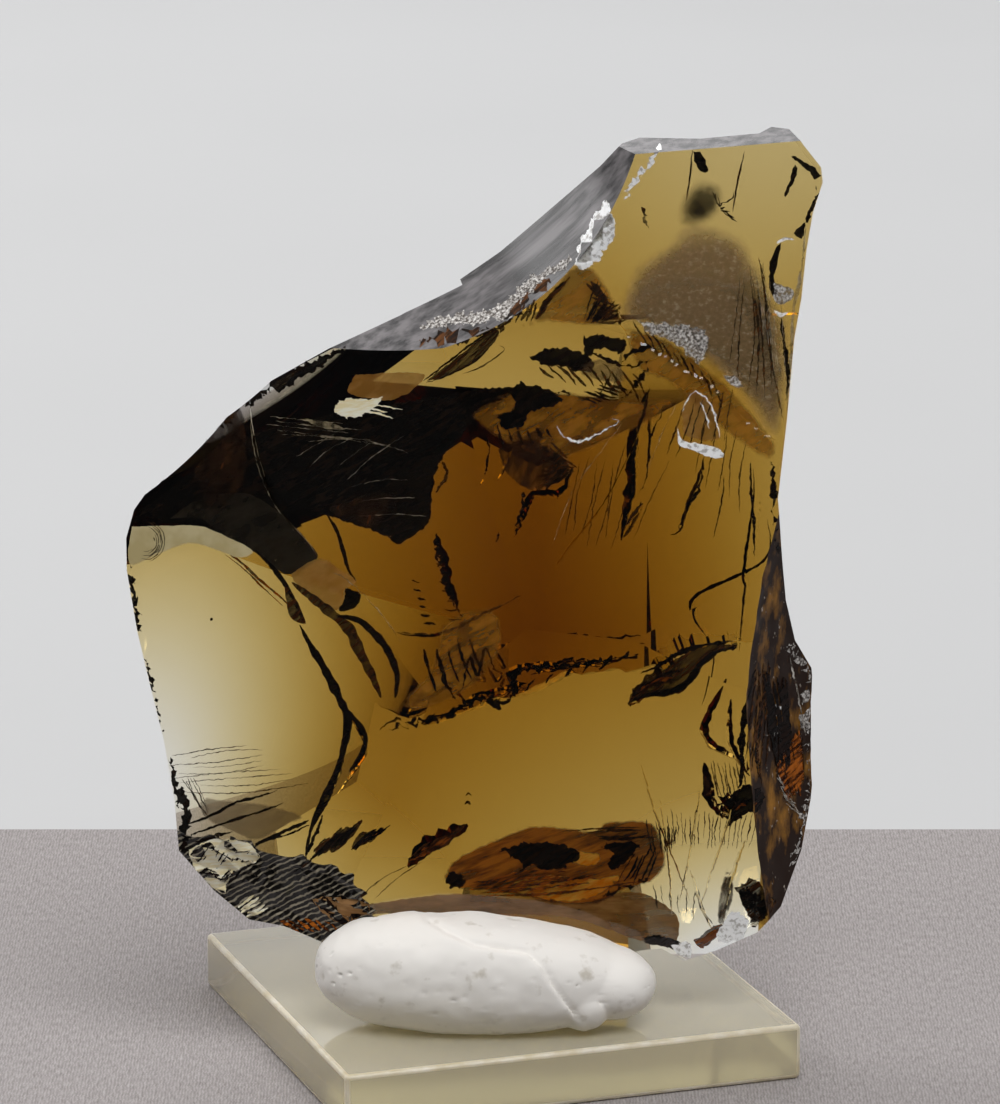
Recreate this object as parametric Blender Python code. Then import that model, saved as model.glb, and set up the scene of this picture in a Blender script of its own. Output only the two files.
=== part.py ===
"""Andara glass: a broken lump of clear amber glass, held upright by a roll of white putty on a
square acrylic base. Run it in Blender's text editor or with blender --background --python part.py.

The origin is the centre of the base's underside. +X runs to the right across the broad face of the
glass, +Y away from the viewer through its thickness, and +Z up.
"""

import math

import bmesh
import bpy
from mathutils import Matrix, Vector

MM = 0.001  # the dimensions below are in millimetres, the model is in metres

# Driving dimensions
BASE_SIDE = 51.0
BASE_THICKNESS = 6.0
BASE_TURN = 19.0  # degrees about Z
BASE_ROUNDING = 0.5
CLEARANCE = 0.3  # between pieces that touch

# The putty is a hand-rolled lump: a rounded bar with two lobes where the roll's end is folded over
PUTTY_CENTRE = (-2.0, -15.4, 11.7)
PUTTY_RADII = (17.4, 7.4, 6.3)
PUTTY_FULLNESS = 2.25  # 2 is an ellipsoid, more is boxier
PUTTY_LEAN = 0.045  # how much lower the roll gets in 6 mm to the right
PUTTY_LOBES = (  # middle and radii
    ((9.3, -18.2, 9.6), (2.9, 3.2, 3.3)),
    ((12.0, -15.6, 11.3), (4.9, 5.2, 4.3)),
)
LOBE_BLEND = 1.2
PUTTY_CREASE = (  # the edge of the last turn: X, and Z as it looks from the front and a little above
    (-7.5, 15.9), (-5.2, 14.5), (-2.4, 13.2), (0.5, 12.8), (3.2, 12.4), (4.6, 11.0), (5.7, 9.3),
    (7.0, 7.4), (8.9, 4.7),
)
CREASE_DEPTH = 0.35
CREASE_WIDTH = 0.35
TURN_STEP = 0.3  # thickness of the turn's edge
PUTTY_RINGS = (44, 44)

# The glass starts as a block whose sides run back and down, and every break is then cut from it
BLOCK_FRONT = -24.0
BLOCK_BACK = 14.0
BLOCK_MIDDLE = -8.0  # the depth at which the outline below is measured
BLOCK_SIDE_DROP = 14.7  # degrees
OUTLINE = (  # X and Z, anticlockwise from the left end of the top
    (13.0, 100.1), (10.7, 97.7), (6.5, 94.1), (0.3, 88.7), (-6.0, 84.2), (-10.2, 81.7), (-17.6, 78.0),
    (-27.1, 72.6), (-31.3, 69.9), (-33.9, 68.0), (-35.1, 65.2), (-38.3, 60.7), (-39.2, 57.6),
    (-39.2, 54.1), (-38.2, 47.5), (-37.0, 42.0), (-35.5, 35.4), (-34.4, 28.7), (-34.0, 23.1),
    (-30.3, 18.6), (-26.6, 15.4), (-22.8, 14.7), (-19.3, 13.2), (-17.5, 12.4), (-10.5, 10.9),
    (-3.0, 10.1), (4.6, 10.1), (11.0, 10.9), (15.3, 12.1), (17.5, 12.3), (19.9, 10.9), (23.4, 12.1),
    (27.7, 14.1), (30.3, 16.9), (32.6, 23.1), (33.6, 28.7), (34.0, 33.1), (33.9, 39.8), (33.5, 43.3),
    (31.6, 46.4), (30.5, 50.8), (30.0, 55.2), (29.4, 61.8), (30.3, 70.4), (31.0, 79.1), (31.7, 83.4),
    (32.2, 88.7), (32.8, 92.5), (33.8, 95.8), (33.6, 97.4), (31.7, 99.8), (30.4, 101.7), (28.6, 102.0),
    (27.3, 101.2), (21.1, 100.6), (14.8, 100.8),
)

# A break is a shallow dish: 'at' is its middle, 'facing' points out of the glass, 'along' is one of
# its two axes. Its rim, 'reach' away along each axis, stands 'rise' proud, and 'power' says how
# suddenly the rim turns up. It covers 'extent', moved by 'shift', and ends there in a ledge, which
# on one side can follow an 'edge' of (across, along) points. 'lip' bends its foot outwards.
BREAKS = {
    "neck_front": dict(at=(22.6, -10.6, 92.0), facing=(0.05, -1, 0.02), along=(0, 0, 1),
                       reach=(24, 30), rise=1.2, power=2, extent=(90, 90)),
    "right_front": dict(at=(20.0, -14.6, 60.0), facing=(0.12, -0.98, 0.03), along=(0, 0, 1),
                        reach=(24, 24), rise=1.0, power=2, extent=(120, 100)),
    "lower_front": dict(at=(6.0, -14.2, 30.0), facing=(0.05, -0.985, -0.09), along=(0, 0, 1),
                        reach=(30, 30), rise=1.0, power=2, extent=(120, 110)),
    "left_front": dict(at=(-29.0, -11.0, 38.5), facing=(-0.2, -0.975, 0.03), along=(0, 0, 1),
                       reach=(26, 26), rise=1.2, power=2, extent=(110, 90)),
    "upper_left_front": dict(at=(-10.2, -13.6, 64.4), facing=(-0.1, -0.985, 0.06), along=(0, 0, 1),
                             reach=(24, 24), rise=1.2, power=2, extent=(100, 100)),
    "shoulder": dict(at=(-17.0, -12.5, 79.8), facing=(-0.44, 0.32, 0.83), along=(0.87, 0, 0.49),
                     reach=(33, 60), rise=0.4, power=2, extent=(40, 60), shift=(-6, 0)),
    "shoulder_top": dict(at=(6.35, -10.5, 87.6), facing=(-0.546, -0.577, 0.607),
                         along=(0.743, 0, 0.669), reach=(14, 60), rise=3.3, power=2, extent=(48, 60),
                         shift=(-4, 0)),
    "top": dict(at=(22.1, -7.6, 100.5), facing=(-0.064, -0.144, 0.988), along=(1, 0, 0),
                reach=(30, 30), rise=0.5, power=2, extent=(60, 50)),
    "right_side": dict(at=(30.6, -8.5, 36.4), facing=(0.78, -0.62, 0), along=(0, 0, 1), reach=(24, 14),
                       rise=1.6, power=2, extent=(90, 50)),
    "ribbed_corner": dict(at=(-25.0, -11.4, 21.0), facing=(-0.25, -0.93, -0.25), along=(0.85, 0, -0.5),
                          reach=(14, 9), rise=0.8, power=2, extent=(40, 30)),
    "neck_back": dict(at=(21.2, -4.15, 91.7), facing=(0.03, 0.985, 0.15), along=(0, 0, 1),
                      reach=(22, 22), rise=1.6, power=2, extent=(40, 90), shift=(8, 0)),
    "upper_back": dict(at=(8.0, 0.2, 75.0), facing=(0.05, 0.89, 0.44), along=(0, 0, 1), reach=(16, 30),
                       rise=2.0, power=2, extent=(41, 90), shift=(-14.5, 0)),
    "middle_back_right": dict(at=(16.0, 3.4, 54.0), facing=(0.38, 0.92, 0.02), along=(0, 0, 1),
                              reach=(24, 24), rise=1.0, power=2, extent=(110, 90)),
    "middle_back_left": dict(at=(-12.0, 3.4, 52.0), facing=(-0.31, 0.95, 0.02), along=(0, 0, 1),
                             reach=(24, 24), rise=1.0, power=2, extent=(110, 90)),
    "lower_back": dict(at=(4.6, -3.4, 33.0), facing=(0.1, 0.985, -0.12), along=(0, 0, 1),
                       reach=(30, 30), rise=1.0, power=2, extent=(34, 72), shift=(-7, -14),
                       lip=(-8.2, 0.55, 1.0, 11.5),
                       edge=((-40, 12), (-16, 5.5), (-12.5, 4.1), (-7.8, 6.3), (-2.5, 7.9), (1.7, 10),
                             (10.2, 10.7), (20.8, 12.9), (40, 14))),
    "patch_back": dict(at=(-6.0, -5.0, 77.0), facing=(-0.1, 0.96, -0.26), along=(0.1, 0, 1),
                       reach=(20, 20), rise=0.8, power=2, extent=(9, 44), shift=(1.5, -3)),
    "upper_left_back": dict(at=(-20.0, -6.3, 68.0), facing=(-0.4, 0.78, 0.48), along=(0, 0, 1),
                            reach=(20, 20), rise=2.0, power=2, extent=(70, 64)),
    "left_window": dict(at=(-36.0, -9.9, 28.0), facing=(-0.03, 1, -0.06), along=(0.335, 0, 0.942),
                        reach=(46.0, 20.5), rise=7.5, power=1.7, extent=(49, 60), shift=(4.5, 0)),
    "right_back": dict(at=(29.0, -3.2, 40.0), facing=(0.4, 0.915, 0), along=(0, 0, 1), reach=(30, 20),
                       rise=1.0, power=2, extent=(90, 30)),
    "right_fan": dict(at=(24.0, -10.2, 20.0), facing=(0.1, 0.93, -0.36), along=(0, 0, 1),
                      reach=(22, 16), rise=3.0, power=2, extent=(46, 14), shift=(3, -3)),
    "left_heel": dict(at=(-16.6, -8.5, 17.0), facing=(-0.2, 0.93, -0.3), along=(0, 0, 1),
                      reach=(14, 20), rise=2.0, power=2, extent=(30, 20), shift=(0, 4)),
    "foot": dict(at=(0.0, -8.0, 9.8), facing=(0, 0.25, -0.97), along=(1, 0, 0), reach=(40, 30),
                 rise=0.8, power=2, extent=(90, 50)),
}
BREAK_CELL = 3.0  # facet size on a break
BREAK_DEPTH = 70.0  # how far a cutter reaches out of the glass
STEEPEST_RIM = 2.2  # a dish stops rising this many reaches from its middle
LIP_CURVE = 5.0  # how far a lip's ends drop below its middle


def clear_scene():
    for obj in list(bpy.data.objects):
        bpy.data.objects.remove(obj, do_unlink=True)


def new_collection(name):
    collection = bpy.data.collections.new(name)
    bpy.context.scene.collection.children.link(collection)
    return collection


def new_material(name, colour, roughness, transmission=0.0, ior=1.5):
    material = bpy.data.materials.new(name)
    material.use_nodes = True
    shader = material.node_tree.nodes["Principled BSDF"]
    shader.inputs["Base Color"].default_value = (*colour, 1.0)
    shader.inputs["Roughness"].default_value = roughness
    shader.inputs["Metallic"].default_value = 0.0
    shader.inputs["Transmission Weight"].default_value = transmission
    shader.inputs["IOR"].default_value = ior
    return material


def new_object(name, bm, collection, material=None):
    bmesh.ops.recalc_face_normals(bm, faces=bm.faces[:])
    if bm.calc_volume(signed=True) < 0:
        bmesh.ops.reverse_faces(bm, faces=bm.faces[:])
    mesh = bpy.data.meshes.new(name)
    bm.to_mesh(mesh)
    bm.free()
    obj = bpy.data.objects.new(name, mesh)
    collection.objects.link(obj)
    if material is not None:
        mesh.materials.append(material)
    return obj


def mark_as_cutter(obj):
    obj.hide_render = True
    obj.display_type = "WIRE"


def cut(target, cutter, operation="DIFFERENCE"):
    modifier = target.modifiers.new(cutter.name, "BOOLEAN")
    modifier.operation = operation
    modifier.solver = "EXACT"
    modifier.object = cutter


def facing_matrix(facing, along):
    """Local Z points along 'facing', and local X as near to 'along' as a right angle allows."""
    z_axis = Vector(facing).normalized()
    x_axis = Vector(along) - z_axis * Vector(along).dot(z_axis)
    x_axis.normalize()
    return Matrix((x_axis, z_axis.cross(x_axis), z_axis)).transposed().to_4x4()


def break_height(shape, u, w):
    out = math.hypot(u / shape["reach"][0], w / shape["reach"][1])
    height = shape["rise"] * min(out, STEEPEST_RIM) ** shape["power"]
    if "lip" in shape:
        start, slope, middle, half = shape["lip"]
        start -= LIP_CURVE * min(1.4, abs(w - middle) / half) ** 3
        height += max(0.0, start - u) * slope
    return height


def edge_at(edge, across):
    for (first, start), (last, end) in zip(edge, edge[1:]):
        if first <= across <= last:
            return start + (end - start) * (across - first) / (last - first)
    return edge[0][1] if across < edge[0][0] else edge[-1][1]


def break_cutter(name, shape, collection, grow):
    """A block whose inner face is the dish of one break, drawn back on all sides by 'grow'."""
    bm = bmesh.new()
    extent = [length - 2 * grow for length in shape["extent"]]
    shift = shape.get("shift", (0, 0))
    counts = [max(6, round(length / BREAK_CELL)) for length in shape["extent"]]
    bmesh.ops.create_grid(bm, x_segments=counts[0], y_segments=counts[1], size=0.5)
    for vert in bm.verts:
        u = vert.co.x * extent[0] + shift[0]
        w = vert.co.y * extent[1] + shift[1]
        if "edge" in shape:
            low = shift[0] - extent[0] / 2
            high = edge_at(shape["edge"], w) - grow
            u = low + (vert.co.x + 0.5) * (high - low)
        vert.co = (u, w, break_height(shape, u, w) + grow)
    outer = bmesh.ops.extrude_face_region(bm, geom=bm.faces[:])["geom"]
    for vert in [item for item in outer if isinstance(item, bmesh.types.BMVert)]:
        vert.co.z = BREAK_DEPTH
    bmesh.ops.triangulate(bm, faces=bm.faces[:])  # flat faces keep the Booleans exact
    place = Matrix.Translation(shape["at"]) @ facing_matrix(shape["facing"], shape["along"])
    bm.transform(Matrix.Scale(MM, 4) @ place)
    cutter = new_object(name, bm, collection)
    mark_as_cutter(cutter)
    return cutter


def add_shard(name, collection, cutters, material=None, grow=0.0):
    """The broken glass, or with 'grow' a slightly larger twin of it that cuts its bed in the putty."""
    bm = bmesh.new()
    centre = Vector((0.0, 0.0, 55.0))
    scale = 1.0 + grow / 40.0
    drop = math.tan(math.radians(BLOCK_SIDE_DROP))
    ring = []
    for x, z in OUTLINE:
        z_front = z - drop * (BLOCK_FRONT - BLOCK_MIDDLE)
        offset = Vector((x, BLOCK_FRONT, z_front)) - centre
        corner = centre + Vector((offset.x * scale, offset.y, offset.z * scale))
        ring.append(bm.verts.new(corner))
    face = bm.faces.new(ring)
    back = bmesh.ops.extrude_face_region(bm, geom=[face])["geom"]
    depth = BLOCK_BACK - BLOCK_FRONT
    for vert in [item for item in back if isinstance(item, bmesh.types.BMVert)]:
        vert.co += Vector((0.0, depth, -drop * depth))
    bm.transform(Matrix.Scale(MM, 4))
    shard = new_object(name, bm, collection, material)
    for break_name, shape in BREAKS.items():
        cut(shard, break_cutter(f"{name}_{break_name}", shape, cutters, grow))
    return shard


def rounded_reach(away):
    return sum(abs(a / r) ** PUTTY_FULLNESS for a, r in zip(away, PUTTY_RADII)) ** (-1 / PUTTY_FULLNESS)


def lobe_reach(away, offset, radii):
    """How far out the lobe's far side is along 'away', or nothing where the line misses it."""
    a = sum((d / r) ** 2 for d, r in zip(away, radii))
    b = sum(d * o / r ** 2 for d, o, r in zip(away, offset, radii))
    c = sum((o / r) ** 2 for o, r in zip(offset, radii)) - 1
    root = b * b - a * c
    return (b + math.sqrt(root)) / a if root > 0 else 0.0


def across_line(line, x, z):
    """The distance to the line, positive on its left."""
    nearest = 1e9
    side = 1
    for (ax, az), (bx, bz) in zip(line, line[1:]):
        dx, dz = bx - ax, bz - az
        px, pz = x - ax, z - az
        along = max(0.0, min(1.0, (px * dx + pz * dz) / (dx * dx + dz * dz)))
        distance = math.hypot(px - along * dx, pz - along * dz)
        if distance < nearest:
            nearest = distance
            side = 1 if dx * pz - dz * px > 0 else -1
    return nearest * side


def putty_point(direction, floor):
    centre = Vector(PUTTY_CENTRE)
    away = Vector([d * r for d, r in zip(direction, PUTTY_RADII)]).normalized()
    reach = rounded_reach(away)
    for place, radii in PUTTY_LOBES:
        other = lobe_reach(away, Vector(place) - centre, radii)
        blend = max(0.0, 1 - abs(reach - other) / LOBE_BLEND)
        reach = max(reach, other) + (0.12 * blend * blend if other > 0 else 0)
    point = centre + away * reach
    point.z = floor + (point.z - floor) * (1 - PUTTY_LEAN * (point.x - centre.x) / 6)
    if away.y < 0.35:
        seen_z = point.z + math.tan(math.radians(BLOCK_SIDE_DROP)) * (point.y - BLOCK_MIDDLE)
        across = across_line(PUTTY_CREASE, point.x, seen_z)
        point -= away * CREASE_DEPTH * math.exp(-(across / CREASE_WIDTH) ** 2)
        if across < 0:
            point += away * TURN_STEP * math.exp(across / 1.6) * min(1, -across / 0.3)
    point.z = max(point.z, floor)
    return point


def add_putty(collection, cutters, material):
    """The roll, flat where it stands on the base, with the bed that the glass presses into it."""
    bm = bmesh.new()
    bmesh.ops.create_uvsphere(bm, u_segments=PUTTY_RINGS[0], v_segments=PUTTY_RINGS[1], radius=1.0)
    bm.transform(Matrix.Rotation(math.radians(90.0), 4, "Y"))
    for vert in bm.verts:
        vert.co = putty_point(vert.co, BASE_THICKNESS + CLEARANCE) * MM
    putty = new_object("mounting_putty", bm, collection, material)
    bed = add_shard("putty_bed", cutters, cutters, grow=CLEARANCE)
    mark_as_cutter(bed)
    cut(putty, bed)
    return putty


def add_base(collection, material):
    bm = bmesh.new()
    bmesh.ops.create_cube(bm, size=1.0)
    bmesh.ops.scale(bm, vec=Vector((BASE_SIDE, BASE_SIDE, BASE_THICKNESS)) * MM, verts=bm.verts[:])
    bmesh.ops.bevel(bm, geom=bm.edges[:], offset=BASE_ROUNDING * MM, offset_type="OFFSET",
                    segments=3, profile=0.5, affect="EDGES", material=-1)
    base = new_object("acrylic_base", bm, collection, material)
    base.location = (0.0, 0.0, BASE_THICKNESS / 2 * MM)
    base.rotation_euler = (0.0, 0.0, math.radians(BASE_TURN))
    return base


def main():
    clear_scene()
    parts = new_collection("andara_glass_on_stand")
    cutters = new_collection("cutters")
    amber_glass = new_material("amber_glass", (0.45, 0.22, 0.04), 0.02, transmission=1.0, ior=1.5)
    white_putty = new_material("white_putty", (0.80, 0.77, 0.72), 0.75)
    aged_acrylic = new_material("aged_acrylic", (0.62, 0.54, 0.38), 0.08, transmission=0.9, ior=1.49)
    glass = add_shard("andara_glass", parts, cutters, amber_glass)
    putty = add_putty(parts, cutters, white_putty)
    add_base(parts, aged_acrylic)
    for obj, sharp in ((glass, 20.0), (putty, 40.0)):
        obj.data.shade_smooth()
        obj.data.set_sharp_from_angle(angle=math.radians(sharp))


main()
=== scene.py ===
import math

import bmesh
import bpy
from mathutils import Matrix, Vector, noise
from mathutils.bvhtree import BVHTree
from mathutils.geometry import delaunay_2d_cdt


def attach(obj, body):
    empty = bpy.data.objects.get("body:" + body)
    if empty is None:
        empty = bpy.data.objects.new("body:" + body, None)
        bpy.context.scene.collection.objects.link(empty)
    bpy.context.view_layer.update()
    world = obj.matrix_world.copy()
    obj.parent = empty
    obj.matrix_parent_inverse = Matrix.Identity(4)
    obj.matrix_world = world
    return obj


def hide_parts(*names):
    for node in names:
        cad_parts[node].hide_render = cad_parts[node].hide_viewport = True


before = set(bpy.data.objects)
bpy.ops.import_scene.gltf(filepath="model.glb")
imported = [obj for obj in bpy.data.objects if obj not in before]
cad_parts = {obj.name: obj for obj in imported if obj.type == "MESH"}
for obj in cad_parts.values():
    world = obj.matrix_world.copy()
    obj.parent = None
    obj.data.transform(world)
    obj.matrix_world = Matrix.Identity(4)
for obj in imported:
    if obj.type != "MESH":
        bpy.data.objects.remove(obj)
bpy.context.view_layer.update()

mm = 0.001
scene = bpy.context.scene


# small helpers used by every piece
def linearColour(hexCode):
    # sRGB hex to the linear values that shaders take
    channels = []
    for start in (0, 2, 4):
        value = int(hexCode[start:start + 2], 16) / 255
        channels.append(value / 12.92 if value <= 0.04045 else ((value + 0.055) / 1.055) ** 2.4)
    return (*channels, 1.0)


def addNode(tree, kind, settings=None, links=None):
    # settings: node properties by name, or socket values by socket name or index
    node = tree.nodes.new(kind)
    for key, value in (settings or {}).items():
        if isinstance(key, str) and hasattr(node, key):
            setattr(node, key, value)
        else:
            node.inputs[key].default_value = value
    for key, source in (links or {}).items():
        tree.links.new(source, node.inputs[key])
    return node


def newMaterial(name):
    material = bpy.data.materials.new(name)
    material.use_nodes = True
    tree = material.node_tree
    shader = tree.nodes["Principled BSDF"]
    coords = addNode(tree, "ShaderNodeTexCoord").outputs["Object"]
    return material, tree, shader, coords


def streakNoise(tree, coords, cell, turn, detail=3.0):
    # noise with cells of this many mm, its x axis turned about y by this many degrees
    turned = addNode(tree, "ShaderNodeMapping",
                     {"vector_type": "TEXTURE", "Rotation": (0, math.radians(turn), 0),
                      "Scale": [side * mm for side in cell]}, {"Vector": coords})
    return addNode(tree, "ShaderNodeTexNoise", {"Scale": 1.0, "Detail": detail, "Roughness": 0.6},
                   {"Vector": turned.outputs[0]}).outputs["Fac"]


def blend(tree, value, low, high, colours):
    # the first colour where the value is low, the second where it is high
    level = addNode(tree, "ShaderNodeMapRange", {"From Min": low, "From Max": high}, {"Value": value})
    first, second = (linearColour(colour) for colour in colours)
    return addNode(tree, "ShaderNodeMix", {"data_type": "RGBA", 6: first, 7: second},
                   {"Factor": level.outputs[0]}).outputs[2]


def addAbsorption(tree, colour, density):
    absorption = addNode(tree, "ShaderNodeVolumeAbsorption", {"Color": (*colour, 1), "Density": density})
    tree.links.new(absorption.outputs[0], tree.nodes["Material Output"].inputs["Volume"])


def bandScale(spacing):
    # a wave texture's scale for bands this far apart
    return math.tau / 20 / spacing


def meshObject(name, bm, material=None):
    bmesh.ops.recalc_face_normals(bm, faces=bm.faces[:])
    if bm.calc_volume(signed=True) < 0:
        bmesh.ops.reverse_faces(bm, faces=bm.faces[:])
    mesh = bpy.data.meshes.new(name)
    bm.to_mesh(mesh)
    bm.free()
    if material:
        mesh.materials.append(material)
    obj = bpy.data.objects.new(name, mesh)
    scene.collection.objects.link(obj)
    return obj


def cutAway(target, cutter):
    # the cutter is used up; its inner faces bring their own material
    modifier = target.modifiers.new("cut", "BOOLEAN")
    modifier.operation = "DIFFERENCE"
    modifier.solver = "MANIFOLD"
    modifier.material_mode = "TRANSFER"
    modifier.object = cutter
    graph = bpy.context.evaluated_depsgraph_get()
    result = bpy.data.meshes.new_from_object(target.evaluated_get(graph))
    target.modifiers.clear()
    spent = target.data
    target.data = result
    bpy.data.meshes.remove(spent)
    spent = cutter.data
    bpy.data.objects.remove(cutter)
    bpy.data.meshes.remove(spent)


def shadeSmooth(obj, sharpAngle):
    obj.data.shade_smooth()
    obj.data.set_sharp_from_angle(angle=math.radians(sharpAngle))


def facingMatrix(facing, along):
    # local Z points along facing, local X as near to along as it can
    zAxis = Vector(facing).normalized()
    xAxis = Vector(along) - zAxis * Vector(along).dot(zAxis)
    xAxis.normalize()
    return Matrix((xAxis, zAxis.cross(xAxis), zAxis)).transposed().to_4x4()


# stage: a pale floor with a grey cloth, soft boxes, the camera

stageValues = dict(
    floorRadius=0.80, floorDrop=0.8 * mm, floorColours=("cfcfcf", "cbcbcb"), mottleSize=0.111,
    # painted shade: the card's shade at two distances behind the object, standing in for the light's falloff
    paintedShadeFrom=(0.07, 0.80), paintedShadeTo=(0.60, 0.99),
    clothSize=(1.10, 0.80), clothBackEdge=74.5 * mm, clothColours=("7c7674", "aca6a5"),
    threadSpacing=0.349 * mm, yarnCell=(0.35, 1.4, 1.0),
    feltSize=(0.80, 1.60), feltBackEdge=-45 * mm, feltColour="1c1b1b",
    cameraDistance=0.6988, cameraTarget=(0.26 * mm, 0, 53.98 * mm), cameraTilt=14.71, lens=212.8,
)


def flatSheet(name, size, backEdge, height, material):
    bm = bmesh.new()
    bmesh.ops.create_grid(bm, x_segments=1, y_segments=1, size=0.5)
    bmesh.ops.scale(bm, vec=(*size, 1), verts=bm.verts[:])
    bmesh.ops.translate(bm, vec=(0, backEdge - size[1] / 2, height), verts=bm.verts[:])
    return meshObject(name, bm, material)


def makeFloor(v):
    # matt card: a faint mottle keeps it from looking like a computer grey
    material, tree, shader, coords = newMaterial("pale card floor")
    mottle = addNode(tree, "ShaderNodeTexNoise", {"Scale": 1 / v["mottleSize"], "Detail": 2.0},
                     {"Vector": coords})
    tint = blend(tree, mottle.outputs["Fac"], 0, 1, v["floorColours"])
    # painted shade: it is a little darker towards the cloth, as if less lit there
    axes = addNode(tree, "ShaderNodeSeparateXYZ", links={0: coords})
    (near, nearShade), (far, farShade) = v["paintedShadeFrom"], v["paintedShadeTo"]
    fade = addNode(tree, "ShaderNodeMapRange", {"From Min": near, "From Max": far, "To Min": nearShade,
                                                "To Max": farShade}, {"Value": axes.outputs["Y"]})
    shade = addNode(tree, "ShaderNodeVectorMath", {"operation": "SCALE"}, {0: tint, "Scale": fade.outputs[0]})
    tree.links.new(shade.outputs[0], shader.inputs["Base Color"])
    shader.inputs["Roughness"].default_value = 0.9
    bm = bmesh.new()
    bmesh.ops.create_circle(bm, cap_ends=True, segments=96, radius=v["floorRadius"])
    bmesh.ops.translate(bm, vec=(0, 0, -v["floorDrop"]), verts=bm.verts[:])
    return meshObject("floor", bm, material)


def makeCloth(v):
    # cotton in plain weave, of uneven yarn: dull, with dark gaps between the threads
    material, tree, shader, coords = newMaterial("grey woven cloth")
    scale = bandScale(v["threadSpacing"])
    warp, weft = [addNode(tree, "ShaderNodeTexWave",
                          {"wave_type": "BANDS", "bands_direction": axis, "Scale": scale,
                           "Distortion": 5.0, "Detail": 2.0}, {"Vector": coords}) for axis in "XY"]
    weave = addNode(tree, "ShaderNodeMath", {"operation": "MULTIPLY"},
                    {0: warp.outputs["Fac"], 1: weft.outputs["Fac"]})
    yarn = streakNoise(tree, coords, v["yarnCell"], 0, 2.0)
    uneven = addNode(tree, "ShaderNodeMath", {"operation": "MULTIPLY_ADD", 1: 0.45},
                     {0: weave.outputs[0], 2: yarn})
    tree.links.new(blend(tree, uneven.outputs[0], 0.30, 1.0, v["clothColours"]), shader.inputs["Base Color"])
    bump = addNode(tree, "ShaderNodeBump", {"Strength": 0.3, "Distance": 0.2 * mm},
                   {"Height": weave.outputs[0]})
    tree.links.new(bump.outputs["Normal"], shader.inputs["Normal"])
    shader.inputs["Roughness"].default_value = 0.95
    return flatSheet("cloth", v["clothSize"], v["clothBackEdge"], -0.05 * mm, material)


def makeFelt(v):
    # wool felt, too matt to shine: it lies in front, out of view, and keeps the lit cloth out of the glass
    material, _, shader, _ = newMaterial("dark felt")
    shader.inputs["Base Color"].default_value = linearColour(v["feltColour"])
    shader.inputs["Roughness"].default_value = 1.0
    return flatSheet("felt", v["feltSize"], v["feltBackEdge"], 0.1 * mm, material)


# each soft box: its place, what it points at, its size and its power
softBoxes = dict(
    overheadSoftBox=((-0.35, 0.75, 1.30), (0, 0.30, 0), (2.0, 1.7), 11.0),
    leftSoftBox=((-1.0, 0.40, 0.82), (0, 0, 0.09), (0.7, 0.7), 4.5),
    frontSoftBox=((0.25, -0.75, 1.25), (0, 0, 0.02), (0.9, 0.7), 16.0),
    sideWindow=((-0.55, -0.45, 0.75), (0, 0, 0.06), (0.20, 0.10), 0.9),
)


def makeLights():
    for name, (place, target, size, power) in softBoxes.items():
        light = bpy.data.lights.new(name, "AREA")
        light.shape = "RECTANGLE"
        light.size, light.size_y = size
        light.energy = power
        obj = bpy.data.objects.new(name, light)
        scene.collection.objects.link(obj)
        obj.location = place
        obj.rotation_euler = (Vector(target) - Vector(place)).to_track_quat("-Z", "Y").to_euler()
    # the room: bright wall behind the object, dim towards the camera
    world = bpy.data.worlds.new("room")
    scene.world = world
    world.use_nodes = True
    tree = world.node_tree
    coords = addNode(tree, "ShaderNodeTexCoord").outputs["Generated"]
    axes = addNode(tree, "ShaderNodeSeparateXYZ", links={0: coords})
    level = addNode(tree, "ShaderNodeMapRange", {"From Min": -0.25, "From Max": 0.55, "To Min": 0.04,
                                                 "To Max": 0.70}, {"Value": axes.outputs["Y"]})
    tree.links.new(level.outputs[0], tree.nodes["Background"].inputs["Strength"])
    tree.nodes["Background"].inputs["Color"].default_value = linearColour("fbfcff")


def makeCamera(v):
    camera = bpy.data.objects.new("camera", bpy.data.cameras.new("camera"))
    scene.collection.objects.link(camera)
    tilt = math.radians(v["cameraTilt"])
    back = Vector((0, -math.cos(tilt), math.sin(tilt)))
    camera.location = Vector(v["cameraTarget"]) + back * v["cameraDistance"]
    camera.rotation_euler = (math.pi / 2 - tilt, 0, 0)
    camera.data.lens = v["lens"]
    camera.data.clip_start = 0.01
    scene.camera = camera


makeFloor(stageValues)
makeCloth(stageValues)
makeFelt(stageValues)
makeLights()
makeCamera(stageValues)
scene.view_settings.view_transform = "Standard"
print("stage ready")


# the glass: a block broken all round by conchoidal fractures (millimetres)

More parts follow.
